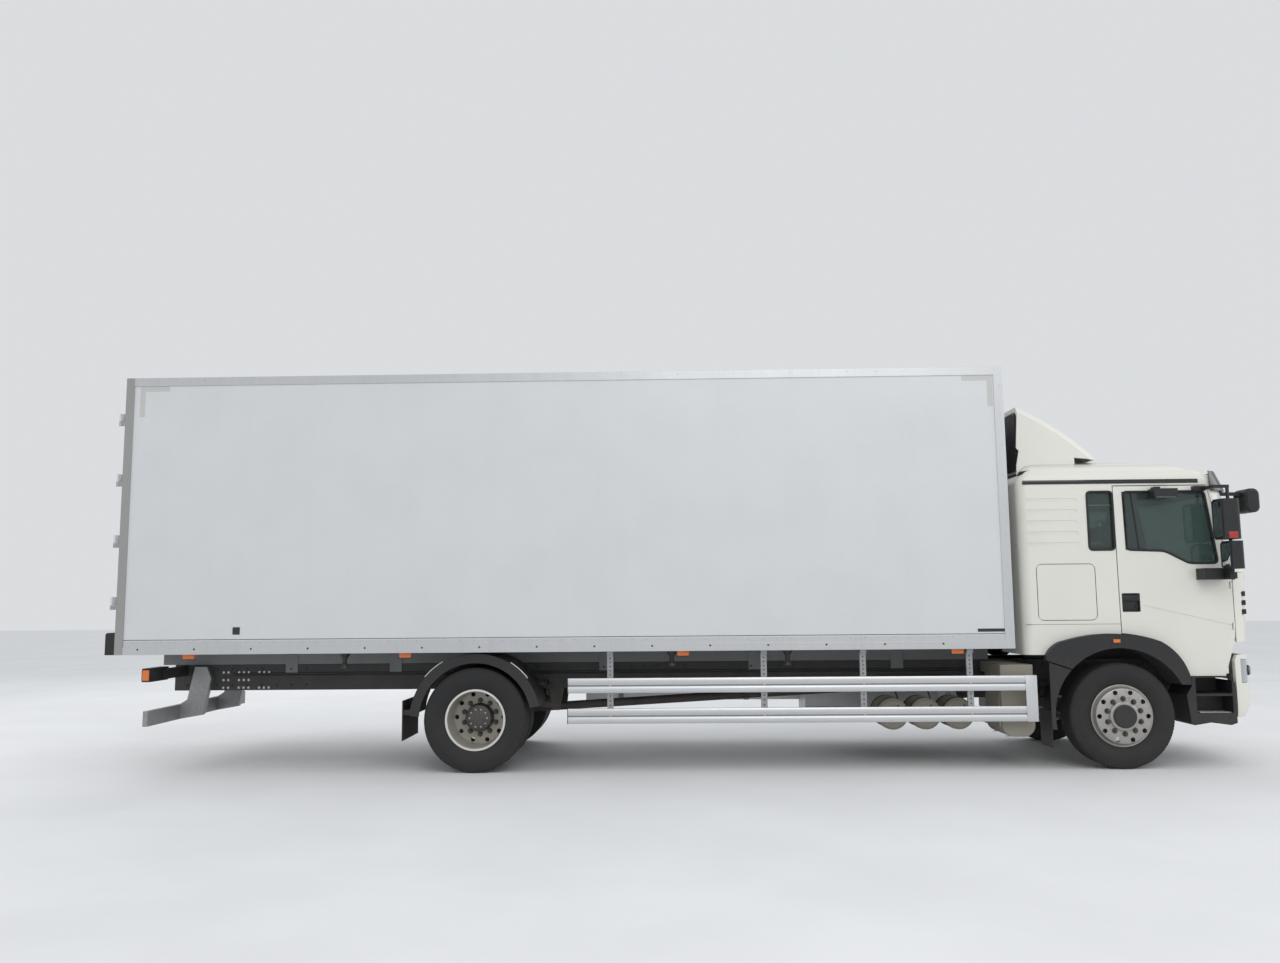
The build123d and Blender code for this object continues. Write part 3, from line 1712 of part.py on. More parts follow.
with BuildPart() as rims_rear_right:
    add(rim_solid(rear_axle, -rear_outer_y, 1))
    add(rim_solid(rear_axle, -rear_inner_y, -1))
    add(hub_solid(rear_axle, -rear_pair_y, hub_rear))
    bore = ((-210, tube_reach + running, axle_tube_radius + running),)
    add(hub_solid(rear_axle, -rear_pair_y, bore), mode=Mode.SUBTRACT)
    holes = vent_holes(rear_axle, disc_wall - rear_pair_y)
    extrude(holes, amount=2 * disc_wall, mode=Mode.SUBTRACT)

with BuildPart() as tyre_front_left:
    mirror(tyre_front_right.part, about=Plane.XZ)
with BuildPart() as tyres_rear_left:
    mirror(tyres_rear_right.part, about=Plane.XZ)
with BuildPart() as rim_front_left:
    mirror(rim_front_right.part, about=Plane.XZ)
with BuildPart() as rims_rear_left:
    mirror(rims_rear_right.part, about=Plane.XZ)

# Rear axle: tube, differential banjo and pinion nose
with BuildPart() as rear_axle_beam:
    tube_end = rear_pair_y + tube_reach
    with BuildSketch(wheel_plane(rear_axle)):
        with BuildLine():
            Polyline(
                (-tube_end, 0),
                (-tube_end, axle_tube_radius),
                (-banjo_half, axle_tube_radius),
                (-banjo_half / 3, banjo_radius),
                (banjo_half / 3, banjo_radius),
                (banjo_half, axle_tube_radius),
                (tube_end, axle_tube_radius),
                (tube_end, 0),
                close=True,
            )
        make_face()
    revolve(axis=axle_axis(rear_axle))
    with BuildSketch(Plane.YZ.offset(rear_axle + 150)):
        with Locations((0, axle_z)):
            Circle(105)
    extrude(amount=pinion_reach - 150)

# Springs: leaves at the front axle, air bellows on trailing arms at the rear
spring_y = 390
with BuildPart() as suspension:
    x = front_axle
    with BuildSketch(right_plane(spring_y - 42)):
        with BuildLine():
            ThreePointArc((x - 800, 636), (x, 480 + seat), (x + 800, 636))
            Line((x + 800, 636), (x + 800, 696))
            ThreePointArc((x + 800, 696), (x, 540), (x - 800, 696))
            Line((x - 800, 696), (x - 800, 636))
        make_face()
        with BuildLine():
            Polyline(
                (x + 740, 640),
                (x + 830, 640),
                (x + 860, rail_bottom),
                (x + 710, rail_bottom),
                close=True,
            )
        make_face()
        with BuildLine():
            Polyline(
                (x - 830, 640),
                (x - 740, 640),
                (x - 710, rail_bottom),
                (x - 860, rail_bottom),
                close=True,
            )
        make_face()
    extrude(amount=82)
    x = rear_axle
    arm_seat = axle_z + axle_tube_radius + seat
    with BuildSketch(right_plane(spring_y - 42)):
        with BuildLine():
            Polyline(
                (x + 760, 545),
                (x + 760, 600),
                (x + 120, arm_seat + 48),
                (x - 130, arm_seat + 48),
                (x - 280, 492),
                (x - 540, 492),
                (x - 540, 447),
                (x - 300, 447),
                (x - 150, arm_seat),
                (x + 120, arm_seat),
                (x + 660, 545),
                close=True,
            )
        make_face()
        with BuildLine():
            Polyline(
                (x + 640, rail_bottom),
                (x + 670, 520),
                (x + 750, 520),
                (x + 790, rail_bottom),
                close=True,
            )
        make_face()
    extrude(amount=82)
    with BuildSketch(Plane.XY.offset(492)):
        with Locations((x - 400, -spring_y)):
            Circle(100)
    extrude(amount=60)
    with BuildSketch(Plane.XY.offset(550)):
        with Locations((x - 400, -spring_y)):
            Circle(132)
    extrude(amount=rail_bottom - 550)
    mirror(about=Plane.XZ)

# Engine, gearbox, cooler and propeller shaft, as plain masses
with BuildPart() as driveline:
    x = front_axle
    with BuildSketch(Plane.YZ.offset(x - gearbox_front)):
        with BuildLine():
            Polyline(
                (-210, 620),
                (210, 620),
                (engine_half, 800),
                (engine_half, 1250),
                (240, engine_top),
                (-240, engine_top),
                (-engine_half, 1250),
                (-engine_half, 800),
                close=True,
            )
        make_face()
    extrude(amount=engine_length)
    with BuildSketch(Plane.YZ.offset(x - gearbox_front)):
        with Locations((0, gearbox_z)):
            Circle(gearbox_radius)
    extrude(amount=-gearbox_length)
    # fan hub and cooler
    engine_front = x - gearbox_front + engine_length
    block((engine_front - 10, engine_front + 210), (-60, 60), (820, 940))
    block((engine_front + 200, engine_front + 290), (-325, 325), (715, 1180))
    shaft_start = Vector(x - gearbox_front - gearbox_length + 5, 0, gearbox_z)
    shaft_end = Vector(rear_axle + pinion_reach, 0, axle_z)
    with BuildSketch(Plane(origin=shaft_start, z_dir=shaft_end - shaft_start)):
        Circle(shaft_radius)
    extrude(amount=(shaft_end - shaft_start).length - shaft_gap)
    # engine mounts on the rail webs
    for along in (-250, 450):
        block((x + along - 50, x + along + 50), (-web, web), (830, 890))

# Tanks: three air tanks and the silencer on the right, fuel on the left
with BuildPart() as air_tanks:
    for tank_x in air_tanks_x:
        with BuildSketch(right_plane(air_tank_outer - air_tank_length)):
            with Locations((rear_axle + tank_x, air_tank_z)):
                Circle(air_tank_radius)
        extrude(amount=air_tank_length)
    chamfer(air_tanks.edges().filter_by(GeomType.CIRCLE), length=26)
    # carrier on the frame rail, with a hanger to each tank
    block(
        (rear_axle + air_tanks_x[0] - 60, rear_axle + air_tanks_x[-1] + 60),
        (-frame_half - 90, -frame_half),
        (rail_bottom + 20, rail_bottom + 100),
    )
    for tank_x in air_tanks_x:
        block(
            (rear_axle + tank_x - 20, rear_axle + tank_x + 20),
            (-frame_half - 90, -frame_half - 60),
            (air_tank_z, rail_bottom + 30),
        )

with BuildPart() as silencer:
    with BuildSketch(right_plane(silencer_inner)):
        with Locations((rear_axle + silencer_x, silencer_z)):
            Rectangle(silencer_length, silencer_height)
    extrude(amount=silencer_outer - silencer_inner)
    fillet(silencer.edges().filter_by(Axis.Y).group_by(Axis.Z)[0], radius=110)
    # shelf to the frame rail
    block(
        (
            rear_axle + silencer_x - silencer_length / 2,
            rear_axle + silencer_x + silencer_length / 2,
        ),
        (-silencer_outer, -frame_half),
        (silencer_z + silencer_height / 2, rail_top - 17),
    )

with BuildPart() as fuel_tank:
    with BuildSketch(Plane.YZ.offset(rear_axle + fuel_tank_rear)):
        with Locations((guard_half - guard_depth - post_depth - 80 - 305, 620)):
            RectangleRounded(610, 560, 130)
    extrude(amount=fuel_tank_length)
    for share in (0.17, 0.83):
        x = rear_axle + fuel_tank_rear + share * fuel_tank_length
        block((x - 30, x + 30), (frame_half, 560), (rail_bottom + 40, rail_bottom + 140))

# Side guards: two ribbed rails a side, channel posts, and an end post in front
with BuildPart() as guard_rails:
    rail_x0 = rear_axle + guard_rear
    rail_x1 = rear_axle + guard_front - guard_end_width
    back = guard_depth - guard_half
    face_y = guard_bulge - guard_half
    half_rail = guard_rail_height / 2
    with BuildSketch(Plane.YZ.offset(rail_x0)):
        for z0 in (guard_upper, guard_lower):
            top = z0 + guard_rail_height
            middle = z0 + half_rail
            with BuildLine():
                Polyline((face_y, z0), (back, z0), (back, top), (face_y, top))
                ThreePointArc(
                    (face_y, top),
                    (-guard_half, (top + middle + guard_groove) / 2),
                    (face_y, middle + guard_groove),
                )
                Line((face_y, middle + guard_groove), (face_y, middle - guard_groove))
                ThreePointArc(
                    (face_y, middle - guard_groove),
                    (-guard_half, (z0 + middle - guard_groove) / 2),
                    (face_y, z0),
                )
            make_face()
    extrude(amount=rail_x1 - rail_x0)
    mirror(about=Plane.XZ)

with BuildPart() as guard_posts:
    block(
        (rail_x1, rail_x1 + guard_end_width),
        (-guard_half, back),
        (guard_lower, guard_upper + guard_rail_height),
    )
    for post_x in guard_posts_x:
        span = (rear_axle + post_x - post_width / 2, rear_axle + post_x + post_width / 2)
        block(span, (back, back + post_depth), (guard_lower, box_bottom))
        # foot under the box's bottom rail
        block(span, (-guard_half - 5, back), (box_bottom - 40, box_bottom))
    mirror(about=Plane.XZ)

# Rear underrun bar on two arms
with BuildPart() as underrun:
    bar_x = door_face + underrun_tuck
    block((bar_x, bar_x + 50), (-1210, 1210), (460, 610))
    for side in (-1, 1):
        with BuildSketch(Plane.XZ.offset(frame_half if side < 0 else -frame_half - 70)):
            with BuildLine():
                Polyline(
                    (bar_x + 184, rail_top - 17),
                    (bar_x + 114, 660),
                    (bar_x + 50, 620),
                    (bar_x + 50, 460),
                    (bar_x + 284, 500),
                    (bar_x + 364, 880),
                    (bar_x + 314, rail_top - 17),
                    close=True,
                )
            make_face()
        extrude(amount=70)

# Rear mudguards over the twin wheels
with BuildPart() as rear_mudguards:
    guard_radius = 646
    guard_wall = 14
    x = rear_axle
    y0 = 590

    def guard_point(angle, radius):
        """Point of a rear mudguard in X and Z."""
        return (
            x + radius * cos(radians(angle)),
            axle_z + radius * sin(radians(angle)),
        )

    for inner_radius, plane_y, width in (
        (guard_radius - guard_wall, y0, 1238 - y0),
        (552, 1226, 12),
    ):
        with BuildSketch(right_plane(plane_y)):
            with BuildLine():
                ThreePointArc(
                    guard_point(12, inner_radius),
                    guard_point(90, inner_radius),
                    guard_point(176, inner_radius),
                )
                Line(guard_point(176, inner_radius), guard_point(176, guard_radius))
                ThreePointArc(
                    guard_point(176, guard_radius),
                    guard_point(90, guard_radius),
                    guard_point(12, guard_radius),
                )
                Line(guard_point(12, guard_radius), guard_point(12, inner_radius))
            make_face()
        extrude(amount=width)
    # flap behind the wheels and carriers to the frame
    block((x - 716, x - 706), (-1238, -y0), (312, 700))
    block((x - 708, x - 628), (-1226, -y0), (560, 610))
    for bar in (-640, 612):
        block((x + bar, x + bar + 30), (-700, -frame_half), (800, 830))
    block((x - 640, x - 560), (-700, -y0), (795, 835))
    block((x + 556, x + 642), (-700, -y0), (795, 835))
    mirror(about=Plane.XZ)

# Rear lamp units on their arms
with BuildPart() as rear_lamps:
    lamp_x = door_face + lamp_tuck
    with BuildSketch(Plane.YZ.offset(lamp_x)):
        with Locations((-990, 959)):
            RectangleRounded(400, 134, 14)
    extrude(amount=80)
    block((lamp_x + 78, lamp_x + 118), (-900, -frame_half), (905, 1010))
    mirror(about=Plane.XZ)

# Orange side markers under the box
with BuildPart() as side_markers:
    for x in markers_x:
        block(
            (rear_axle + x - 58, rear_axle + x + 58),
            (-guard_half, back - 1),
            (box_bottom - 48, box_bottom),
        )
    mirror(about=Plane.XZ)

pieces = {
    "frame_rails": frame_rails,
    "crossmembers": crossmembers,
    "subframe": subframe,
    "box_floor": box_floor,
    "box_wall_right": box_wall_right,
    "box_wall_left": box_wall_left,
    "box_front_wall": box_front_wall,
    "box_roof": box_roof,
    "box_edge_rails": box_edge_rails,
    "portal_posts": portal_posts,
    "portal_beams": portal_beams,
    "dock_buffers": dock_buffers,
    "rear_door_right": rear_door_right,
    "rear_door_left": rear_door_left,
    "cab_shell": cab_shell,
    "cab_roof": cab_roof,
    "front_panel": front_panel,
    "grille": grille,
    "cab_glass": cab_glass,
    "door_right": door_right,
    "door_left": door_left,
    "door_window_right": door_window_right,
    "door_window_left": door_window_left,
    "arch_flares": arch_flares,
    "roof_fairing": roof_fairing,
    "sun_visor": sun_visor,
    "front_mirror": front_mirror,
    "mirrors_right": mirrors_right,
    "mirrors_left": mirrors_left,
    "seats": seats,
    "dashboard": dashboard,
    "bumper": bumper,
    "headlamps": headlamps,
    "step_wells": step_wells,
    "front_mudguards": front_mudguards,
    "front_axle_beam": front_axle_beam,
    "knuckle_right": knuckle_right,
    "knuckle_left": knuckle_left,
    "tie_rod": tie_rod,
    "tyre_front_right": tyre_front_right,
    "tyre_front_left": tyre_front_left,
    "tyres_rear_right": tyres_rear_right,
    "tyres_rear_left": tyres_rear_left,
    "rim_front_right": rim_front_right,
    "rim_front_left": rim_front_left,
    "rims_rear_right": rims_rear_right,
    "rims_rear_left": rims_rear_left,
    "rear_axle_beam": rear_axle_beam,
    "suspension": suspension,
    "driveline": driveline,
    "air_tanks": air_tanks,
    "silencer": silencer,
    "fuel_tank": fuel_tank,
    "guard_rails": guard_rails,
    "guard_posts": guard_posts,
    "underrun": underrun,
    "rear_mudguards": rear_mudguards,
    "rear_lamps": rear_lamps,
    "side_markers": side_markers,
}
os.makedirs("parts", exist_ok=True)
for node, piece in pieces.items():
    piece.part.label = node
    export_step(piece.part, f"parts/{node}.step")
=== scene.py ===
"""Looks of a two-axle refrigerated truck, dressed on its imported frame.

Metres, in the frame's own axes: +X forward, +Y left, +Z up, origin on the
ground under the middle of the truck.
"""

import json
import logging
import math
from dataclasses import dataclass
from enum import Enum
from functools import partial
from typing import Callable, Iterable, Optional, Sequence, Union

import bmesh
import bpy
from mathutils import Matrix, Vector
from mathutils.bvhtree import BVHTree

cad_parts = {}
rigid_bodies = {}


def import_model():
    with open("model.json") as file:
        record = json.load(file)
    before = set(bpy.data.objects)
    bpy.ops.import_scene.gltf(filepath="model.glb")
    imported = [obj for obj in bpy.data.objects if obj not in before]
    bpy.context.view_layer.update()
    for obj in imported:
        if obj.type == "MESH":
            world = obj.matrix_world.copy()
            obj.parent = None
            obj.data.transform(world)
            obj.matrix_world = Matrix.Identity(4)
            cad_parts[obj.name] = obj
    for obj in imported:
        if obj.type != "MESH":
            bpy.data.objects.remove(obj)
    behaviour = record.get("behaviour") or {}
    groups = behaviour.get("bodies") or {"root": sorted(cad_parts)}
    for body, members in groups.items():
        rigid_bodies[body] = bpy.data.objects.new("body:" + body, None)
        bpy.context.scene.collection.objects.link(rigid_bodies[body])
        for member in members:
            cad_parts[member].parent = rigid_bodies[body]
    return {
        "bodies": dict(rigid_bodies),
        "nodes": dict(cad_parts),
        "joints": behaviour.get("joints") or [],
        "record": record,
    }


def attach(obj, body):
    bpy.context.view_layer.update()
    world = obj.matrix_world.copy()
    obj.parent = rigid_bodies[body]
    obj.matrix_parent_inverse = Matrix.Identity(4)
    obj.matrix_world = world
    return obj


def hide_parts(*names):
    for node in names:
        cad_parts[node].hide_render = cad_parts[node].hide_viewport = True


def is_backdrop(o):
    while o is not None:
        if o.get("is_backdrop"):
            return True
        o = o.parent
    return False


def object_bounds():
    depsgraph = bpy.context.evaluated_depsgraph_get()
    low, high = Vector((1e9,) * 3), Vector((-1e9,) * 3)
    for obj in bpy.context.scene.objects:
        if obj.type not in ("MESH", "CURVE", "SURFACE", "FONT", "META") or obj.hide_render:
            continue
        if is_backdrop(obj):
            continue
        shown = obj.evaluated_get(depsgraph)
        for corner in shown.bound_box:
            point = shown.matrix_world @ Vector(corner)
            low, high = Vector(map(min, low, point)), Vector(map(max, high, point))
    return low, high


LOG = logging.getLogger("truck")
PHOTO_WIDTH = 1280
SENSOR = 36.0
SIDES = {"right": -1, "left": 1}
MERGE_DISTANCE = 2e-5
FLAT_ANGLE = math.radians(1.0)
EDGE_ANGLE = math.radians(32)

Colour = tuple[float, float, float]
Point = tuple[float, float, float]
Section = Sequence[tuple[float, float]]
Socket = bpy.types.NodeSocket


class Graph:
    """Adds nodes to a node tree and joins their sockets."""

    def __init__(self, tree: bpy.types.NodeTree) -> None:
        """Wraps a tree.

        Args:
            tree: The shader or geometry tree to work in.
        """
        self.tree = tree

    def node(self, kind: str, **settings: object) -> bpy.types.Node:
        """Adds a node.

        Args:
            kind: Blender's type name of the node.
            **settings: Properties to set on it.

        Returns:
            The new node.
        """
        node = self.tree.nodes.new(kind)
        for name, value in settings.items():
            setattr(node, name, value)
        return node

    def feed(self, socket: Socket, value: object) -> None:
        """Links a socket to another, or writes a plain value to it."""
        if isinstance(value, bpy.types.NodeSocket):
            self.tree.links.new(value, socket)
        else:
            socket.default_value = value

    def group(self, tree: bpy.types.NodeTree, values: dict[str, object]) -> bpy.types.Node:
        """Adds one of the shared groups.

        Args:
            tree: The group.
            values: Its inputs, as sockets or plain values, by their names.

        Returns:
            The group's node.
        """
        node = self.node("ShaderNodeGroup", node_tree=tree)
        for name, value in values.items():
            self.feed(node.inputs[name], value)
        return node

    def math(self, operation: str, first: object, second: object = 0.0, clamp: bool = False) -> Socket:
        """Joins two values by one operation.

        Args:
            operation: Blender's name of the operation, such as "MULTIPLY".
            first: Socket or number.
            second: Socket or number.
            clamp: Whether the result is kept between 0 and 1.

        Returns:
            The output socket.
        """
        node = self.node("ShaderNodeMath", operation=operation, use_clamp=clamp)
        self.feed(node.inputs[0], first)
        self.feed(node.inputs[1], second)
        return node.outputs[0]

    def mix(self, share: object, first: object, second: object) -> Socket:
        """Mixes two colours by a share.

        Args:
            share: Socket or number, 0 for the first colour and 1 for the second.
            first: Socket or colour.
            second: Socket or colour.

        Returns:
            The output colour socket.
        """
        node = self.node("ShaderNodeMix", data_type="RGBA")
        self.feed(node.inputs[0], share)
        self.feed(node.inputs[6], first)
        self.feed(node.inputs[7], second)
        return node.outputs[2]

    def remap(
        self, value: Socket, low: object, high: object, out_low: object = 0.0, out_high: object = 1.0
    ) -> Socket:
        """Maps a range of a value smoothly on another range.

        Args:
            value: The socket that is mapped.
            low: Start of its range.
            high: End of its range.
            out_low: What the start becomes.
            out_high: What the end becomes.

        Returns:
            The output socket.
        """
        node = self.node("ShaderNodeMapRange", interpolation_type="SMOOTHSTEP")
        for index, entry in enumerate((value, low, high, out_low, out_high)):
            self.feed(node.inputs[index], entry)
        return node.outputs[0]

    def place(self, scale: Point = (1, 1, 1), turn: Point = (0, 0, 0)) -> Socket:
        """Object coordinates, scaled and turned.

        Args:
            scale: Factor on each axis.
            turn: Rotation on each axis, in radians.

        Returns:
            The output vector socket.
        """
        where = self.node("ShaderNodeTexCoord")
        mapping = self.node("ShaderNodeMapping")
        self.feed(mapping.inputs["Vector"], where.outputs["Object"])
        mapping.inputs["Scale"].default_value = scale
        mapping.inputs["Rotation"].default_value = turn
        return mapping.outputs[0]

    def noise(self, vector: Socket, scale: object, detail: float = 3.0, roughness: float = 0.55) -> Socket:
        """Noise between 0 and 1 at a vector.

        Args:
            vector: Where it is read.
            scale: Socket or number.
            detail: Octaves.
            roughness: Share of the fine octaves.

        Returns:
            The output value socket.
        """
        node = self.node("ShaderNodeTexNoise")
        self.feed(node.inputs["Vector"], vector)
        self.feed(node.inputs["Scale"], scale)
        node.inputs["Detail"].default_value = detail
        node.inputs["Roughness"].default_value = roughness
        return node.outputs["Fac"]


def blank_material(name: str) -> tuple[bpy.types.Material, Graph, bpy.types.Node]:
    """Starts a material.

    Args:
        name: Its name.

    Returns:
        The material, its graph and its surface shader.
    """
    material = bpy.data.materials.new(name)
    material.use_nodes = True
    return material, Graph(material.node_tree), material.node_tree.nodes["Principled BSDF"]


def group_tree(
    name: str, inputs: Sequence[tuple[str, str, object]], outputs: Sequence[tuple[str, str]]
) -> tuple[Graph, bpy.types.Node, bpy.types.Node]:
    """Starts a shader node group.

    Args:
        name: The group's name.
        inputs: Name, socket type and default of each input.
        outputs: Name and socket type of each output.

    Returns:
        The group's graph, its input node and its output node.
    """
    tree = bpy.data.node_groups.new(name, "ShaderNodeTree")
    for label, kind, default in inputs:
        socket = tree.interface.new_socket(label, in_out="INPUT", socket_type=kind)
        socket.default_value = default
    for label, kind in outputs:
        tree.interface.new_socket(label, in_out="OUTPUT", socket_type=kind)
    graph = Graph(tree)
    return graph, graph.node("NodeGroupInput"), graph.node("NodeGroupOutput")


FLOAT = "NodeSocketFloat"
COLOUR = "NodeSocketColor"
VECTOR = "NodeSocketVector"


class Effects:
    """Shader node groups that the finishes share, each built once."""

    def __init__(self) -> None:
        """Builds the groups."""
        self.film = self._overlay(
            "road_film", "Film", (0.30, 0.27, 0.23, 1), 0.4, (("Top", 1.0), ("Patch", 5.0)), self._film
        )
        self.streaks = self._overlay(
            "rain_streaks", "Dirt", (0.33, 0.31, 0.27, 1), 0.15, (("Pitch", 9.0),), self._streaks
        )
        self.scuffs = self._overlay(
            "scuffs", "Rubbed", (0.6, 0.6, 0.6, 1), 0.3, (("Size", 28.0),), self._scuffs
        )
        self.grain = self._grain()

    @staticmethod
    def _overlay(
        name: str,
        tint: str,
        colour: tuple[float, float, float, float],
        amount: float,
        sizes: Sequence[tuple[str, float]],
        masks: Callable[[Graph, bpy.types.Node], tuple[Socket, Socket]],
    ) -> bpy.types.NodeTree:
        """Builds a group that lays a second colour over the first where two masks meet.

        Args:
            name: Name of the group.
            tint: Name of the second colour's input.
            colour: Default of that input.
            amount: Default of the Amount input.
            sizes: Name and default of the other inputs.
            masks: Makes the two masks from the group's graph and its input node.

        Returns:
            The group.
        """
        inputs = [("Colour", COLOUR, (0.5, 0.5, 0.5, 1)), (tint, COLOUR, colour), ("Amount", FLOAT, amount)]
        inputs += [(label, FLOAT, value) for label, value in sizes]
        graph, given, result = group_tree(name, inputs, (("Colour", COLOUR), ("Mask", FLOAT)))
        both = graph.math("MULTIPLY", *masks(graph, given))
        mask = graph.math("MULTIPLY", both, given.outputs["Amount"], True)
        graph.feed(result.inputs["Colour"], graph.mix(mask, given.outputs["Colour"], given.outputs[tint]))
        graph.feed(result.inputs["Mask"], mask)
        return graph.tree

    @staticmethod
    def _film(graph: Graph, given: bpy.types.Node) -> tuple[Socket, Socket]:
        """Masks of the grey road dust: it fades with height and lies in patches."""
        place = graph.place()
        split = graph.node("ShaderNodeSeparateXYZ")
        graph.feed(split.inputs[0], place)
        height = graph.remap(split.outputs[2], 0.0, given.outputs["Top"], 1.0, 0.0)
        patches = graph.noise(place, given.outputs["Patch"], 5.0, 0.6)
        return height, graph.remap(patches, 0.28, 0.72, 0.45, 1.0)

    @staticmethod
    def _streaks(graph: Graph, given: bpy.types.Node) -> tuple[Socket, Socket]:
        """Masks of the rain streaks that run down upright panels."""
        lines = graph.noise(graph.place((1.0, 1.0, 0.045)), given.outputs["Pitch"], 4.0, 0.65)
        clouds = graph.noise(graph.place(), 0.9, 3.0)
        return graph.remap(lines, 0.45, 0.85), graph.remap(clouds, 0.3, 0.75, 0.25, 1.0)

    @staticmethod
    def _scuffs(graph: Graph, given: bpy.types.Node) -> tuple[Socket, Socket]:
        """Masks of rubbed patches that show a paler or darker tone."""
        place = graph.place((1.0, 1.0, 1.6))
        spots = graph.noise(place, given.outputs["Size"], 6.0, 0.7)
        clouds = graph.noise(place, 3.0, 2.0)
        return graph.remap(spots, 0.5, 0.68), graph.remap(clouds, 0.35, 0.7)

    @staticmethod
    def _grain() -> bpy.types.NodeTree:
        """Fine grain: an uneven gloss and the small relief that goes with it."""
        graph, given, result = group_tree(
            "fine_grain",
            (("Size", FLOAT, 300.0), ("Gloss", FLOAT, 0.4), ("Spread", FLOAT, 0.1)),
            (("Gloss", FLOAT), ("Height", FLOAT)),
        )
        place = graph.place()
        broad = graph.noise(place, 2.6, 3.0)
        sway = graph.math("MULTIPLY", graph.math("SUBTRACT", broad, 0.5), given.outputs["Spread"])
        graph.feed(result.inputs["Gloss"], graph.math("ADD", given.outputs["Gloss"], sway, True))
        graph.feed(result.inputs["Height"], graph.noise(place, given.outputs["Size"], 2.0))
        return graph.tree


class Pattern(Enum):
    """Relief or figure that a finish carries beside its grain."""

    PLAIN = "plain"
    SPANGLE = "spangle"
    BRUSHED = "brushed"
    WEAVE = "weave"
    CAST = "cast"
    STUDS = "studs"


@dataclass(frozen=True)
class Finish:
    """A solid finish: its colour, gloss and the wear that it carries.

    Attributes:
        name: Name of the material.
        colour: Clean colour, linear.
        gloss: Roughness of the clean surface.
        metal: 1 for bare metal.
        coat: Weight of a clear coat.
        grain: Size of the fine grain, as noise scale.
        relief: Strength of the grain's bump.
        film: Amount of road film.
        film_top: Height at which the film ends, in metres.
        streaks: Amount of rain streaks.
        scuffs: Amount of rubbed patches.
        rubbed: Colour of the rubbed patches.
        pattern: Relief or figure beside the grain.
        pitch: Scale of that pattern.
    """

    name: str
    colour: Colour
    gloss: float = 0.4
    metal: float = 0.0
    coat: float = 0.0
    grain: float = 260.0
    relief: float = 0.04
    film: float = 0.35
    film_top: float = 1.3
    streaks: float = 0.0
    scuffs: float = 0.0
    rubbed: Colour = (0.5, 0.5, 0.5)
    pattern: Pattern = Pattern.PLAIN
    pitch: float = 60.0

    def build(self, effects: Effects) -> bpy.types.Material:
        """Makes the material.

        Args:
            effects: The shared shader groups.

        Returns:
            The new material.
        """
        material, graph, shader = blank_material(self.name)
        tone = graph.noise(graph.place(), 1.7, 4.0)
        colour = graph.mix(graph.remap(tone, 0.3, 0.8), (*self.colour, 1.0), self._shade(0.96))
        colour, figure = self._figure(graph, colour)
        if self.scuffs:
            values = {"Colour": colour, "Amount": self.scuffs, "Rubbed": (*self.rubbed, 1.0)}
            colour = graph.group(effects.scuffs, values).outputs["Colour"]
        if self.streaks:
            values = {"Colour": colour, "Amount": self.streaks}
            colour = graph.group(effects.streaks, values).outputs["Colour"]
        film = graph.group(effects.film, {"Colour": colour, "Top": self.film_top, "Amount": self.film})
        grain = graph.group(effects.grain, {"Size": self.grain, "Gloss": self.gloss})
        dusty = graph.math("MULTIPLY", film.outputs["Mask"], 0.4)
        height = grain.outputs["Height"]
        if figure is not None:
            height = graph.math("ADD", graph.math("MULTIPLY", height, 0.3), figure)
        bump = graph.node("ShaderNodeBump")
        values = {"Strength": self.relief, "Distance": 0.004, "Height": height}
        for name, value in values.items():
            graph.feed(bump.inputs[name], value)
        values = {
            "Base Color": film.outputs["Colour"],
            "Roughness": graph.math("ADD", grain.outputs["Gloss"], dusty, True),
            "Normal": bump.outputs[0],
            "Metallic": self.metal,
            "Coat Weight": self.coat,
            "Coat Roughness": 0.08,
        }
        for name, value in values.items():
            graph.feed(shader.inputs[name], value)
        return material

    def _shade(self, share: float) -> tuple[float, ...]:
        """Gives the finish's colour darkened to a share."""
        return (*(channel * share for channel in self.colour), 1.0)

    def _cells(self, graph: Graph, randomness: float) -> bpy.types.Node:
        """Adds the cells of a spangled or studded surface."""
        cells = graph.node("ShaderNodeTexVoronoi", feature="F1")
        values = {"Vector": graph.place(), "Scale": self.pitch, "Randomness": randomness}
        for name, value in values.items():
            graph.feed(cells.inputs[name], value)
        return cells

    def _figure(self, graph: Graph, colour: Socket) -> tuple[Socket, Optional[Socket]]:
        """Adds the finish's pattern.

        Args:
            graph: The material's graph.
            colour: Colour before the pattern.

        Returns:
            The colour with the pattern, and the height that goes into the bump or None.
        """
        dark = self._shade(0.72)
        if self.pattern is Pattern.SPANGLE:
            split = graph.node("ShaderNodeSeparateColor")
            graph.feed(split.inputs[0], self._cells(graph, 1.0).outputs["Color"])
            return graph.mix(graph.math("MULTIPLY", split.outputs[0], 0.5), colour, dark), None
        if self.pattern is Pattern.BRUSHED:
            lines = graph.noise(graph.place((1.0, 1.0, 0.02)), self.pitch, 3.0)
            return graph.mix(graph.math("MULTIPLY", lines, 0.35), colour, dark), lines
        if self.pattern is Pattern.CAST:
            return colour, graph.noise(graph.place(), self.pitch, 4.0, 0.7)
        if self.pattern is Pattern.STUDS:
            distance = self._cells(graph, 0.0).outputs["Distance"]
            return colour, graph.remap(distance, 0.2, 0.35, 1.0, 0.0)
        if self.pattern is Pattern.WEAVE:
            threads = []
            for turn in (0.0, math.pi / 2):
                wave = graph.node("ShaderNodeTexWave", wave_type="BANDS", bands_direction="DIAGONAL")
                graph.feed(wave.inputs["Vector"], graph.place(turn=(0, 0, turn)))
                graph.feed(wave.inputs["Scale"], self.pitch)
                threads.append(wave.outputs["Fac"])
            cloth = graph.math("MULTIPLY", *threads)
            return graph.mix(graph.math("MULTIPLY", cloth, 0.5), colour, dark), cloth
        return colour, None


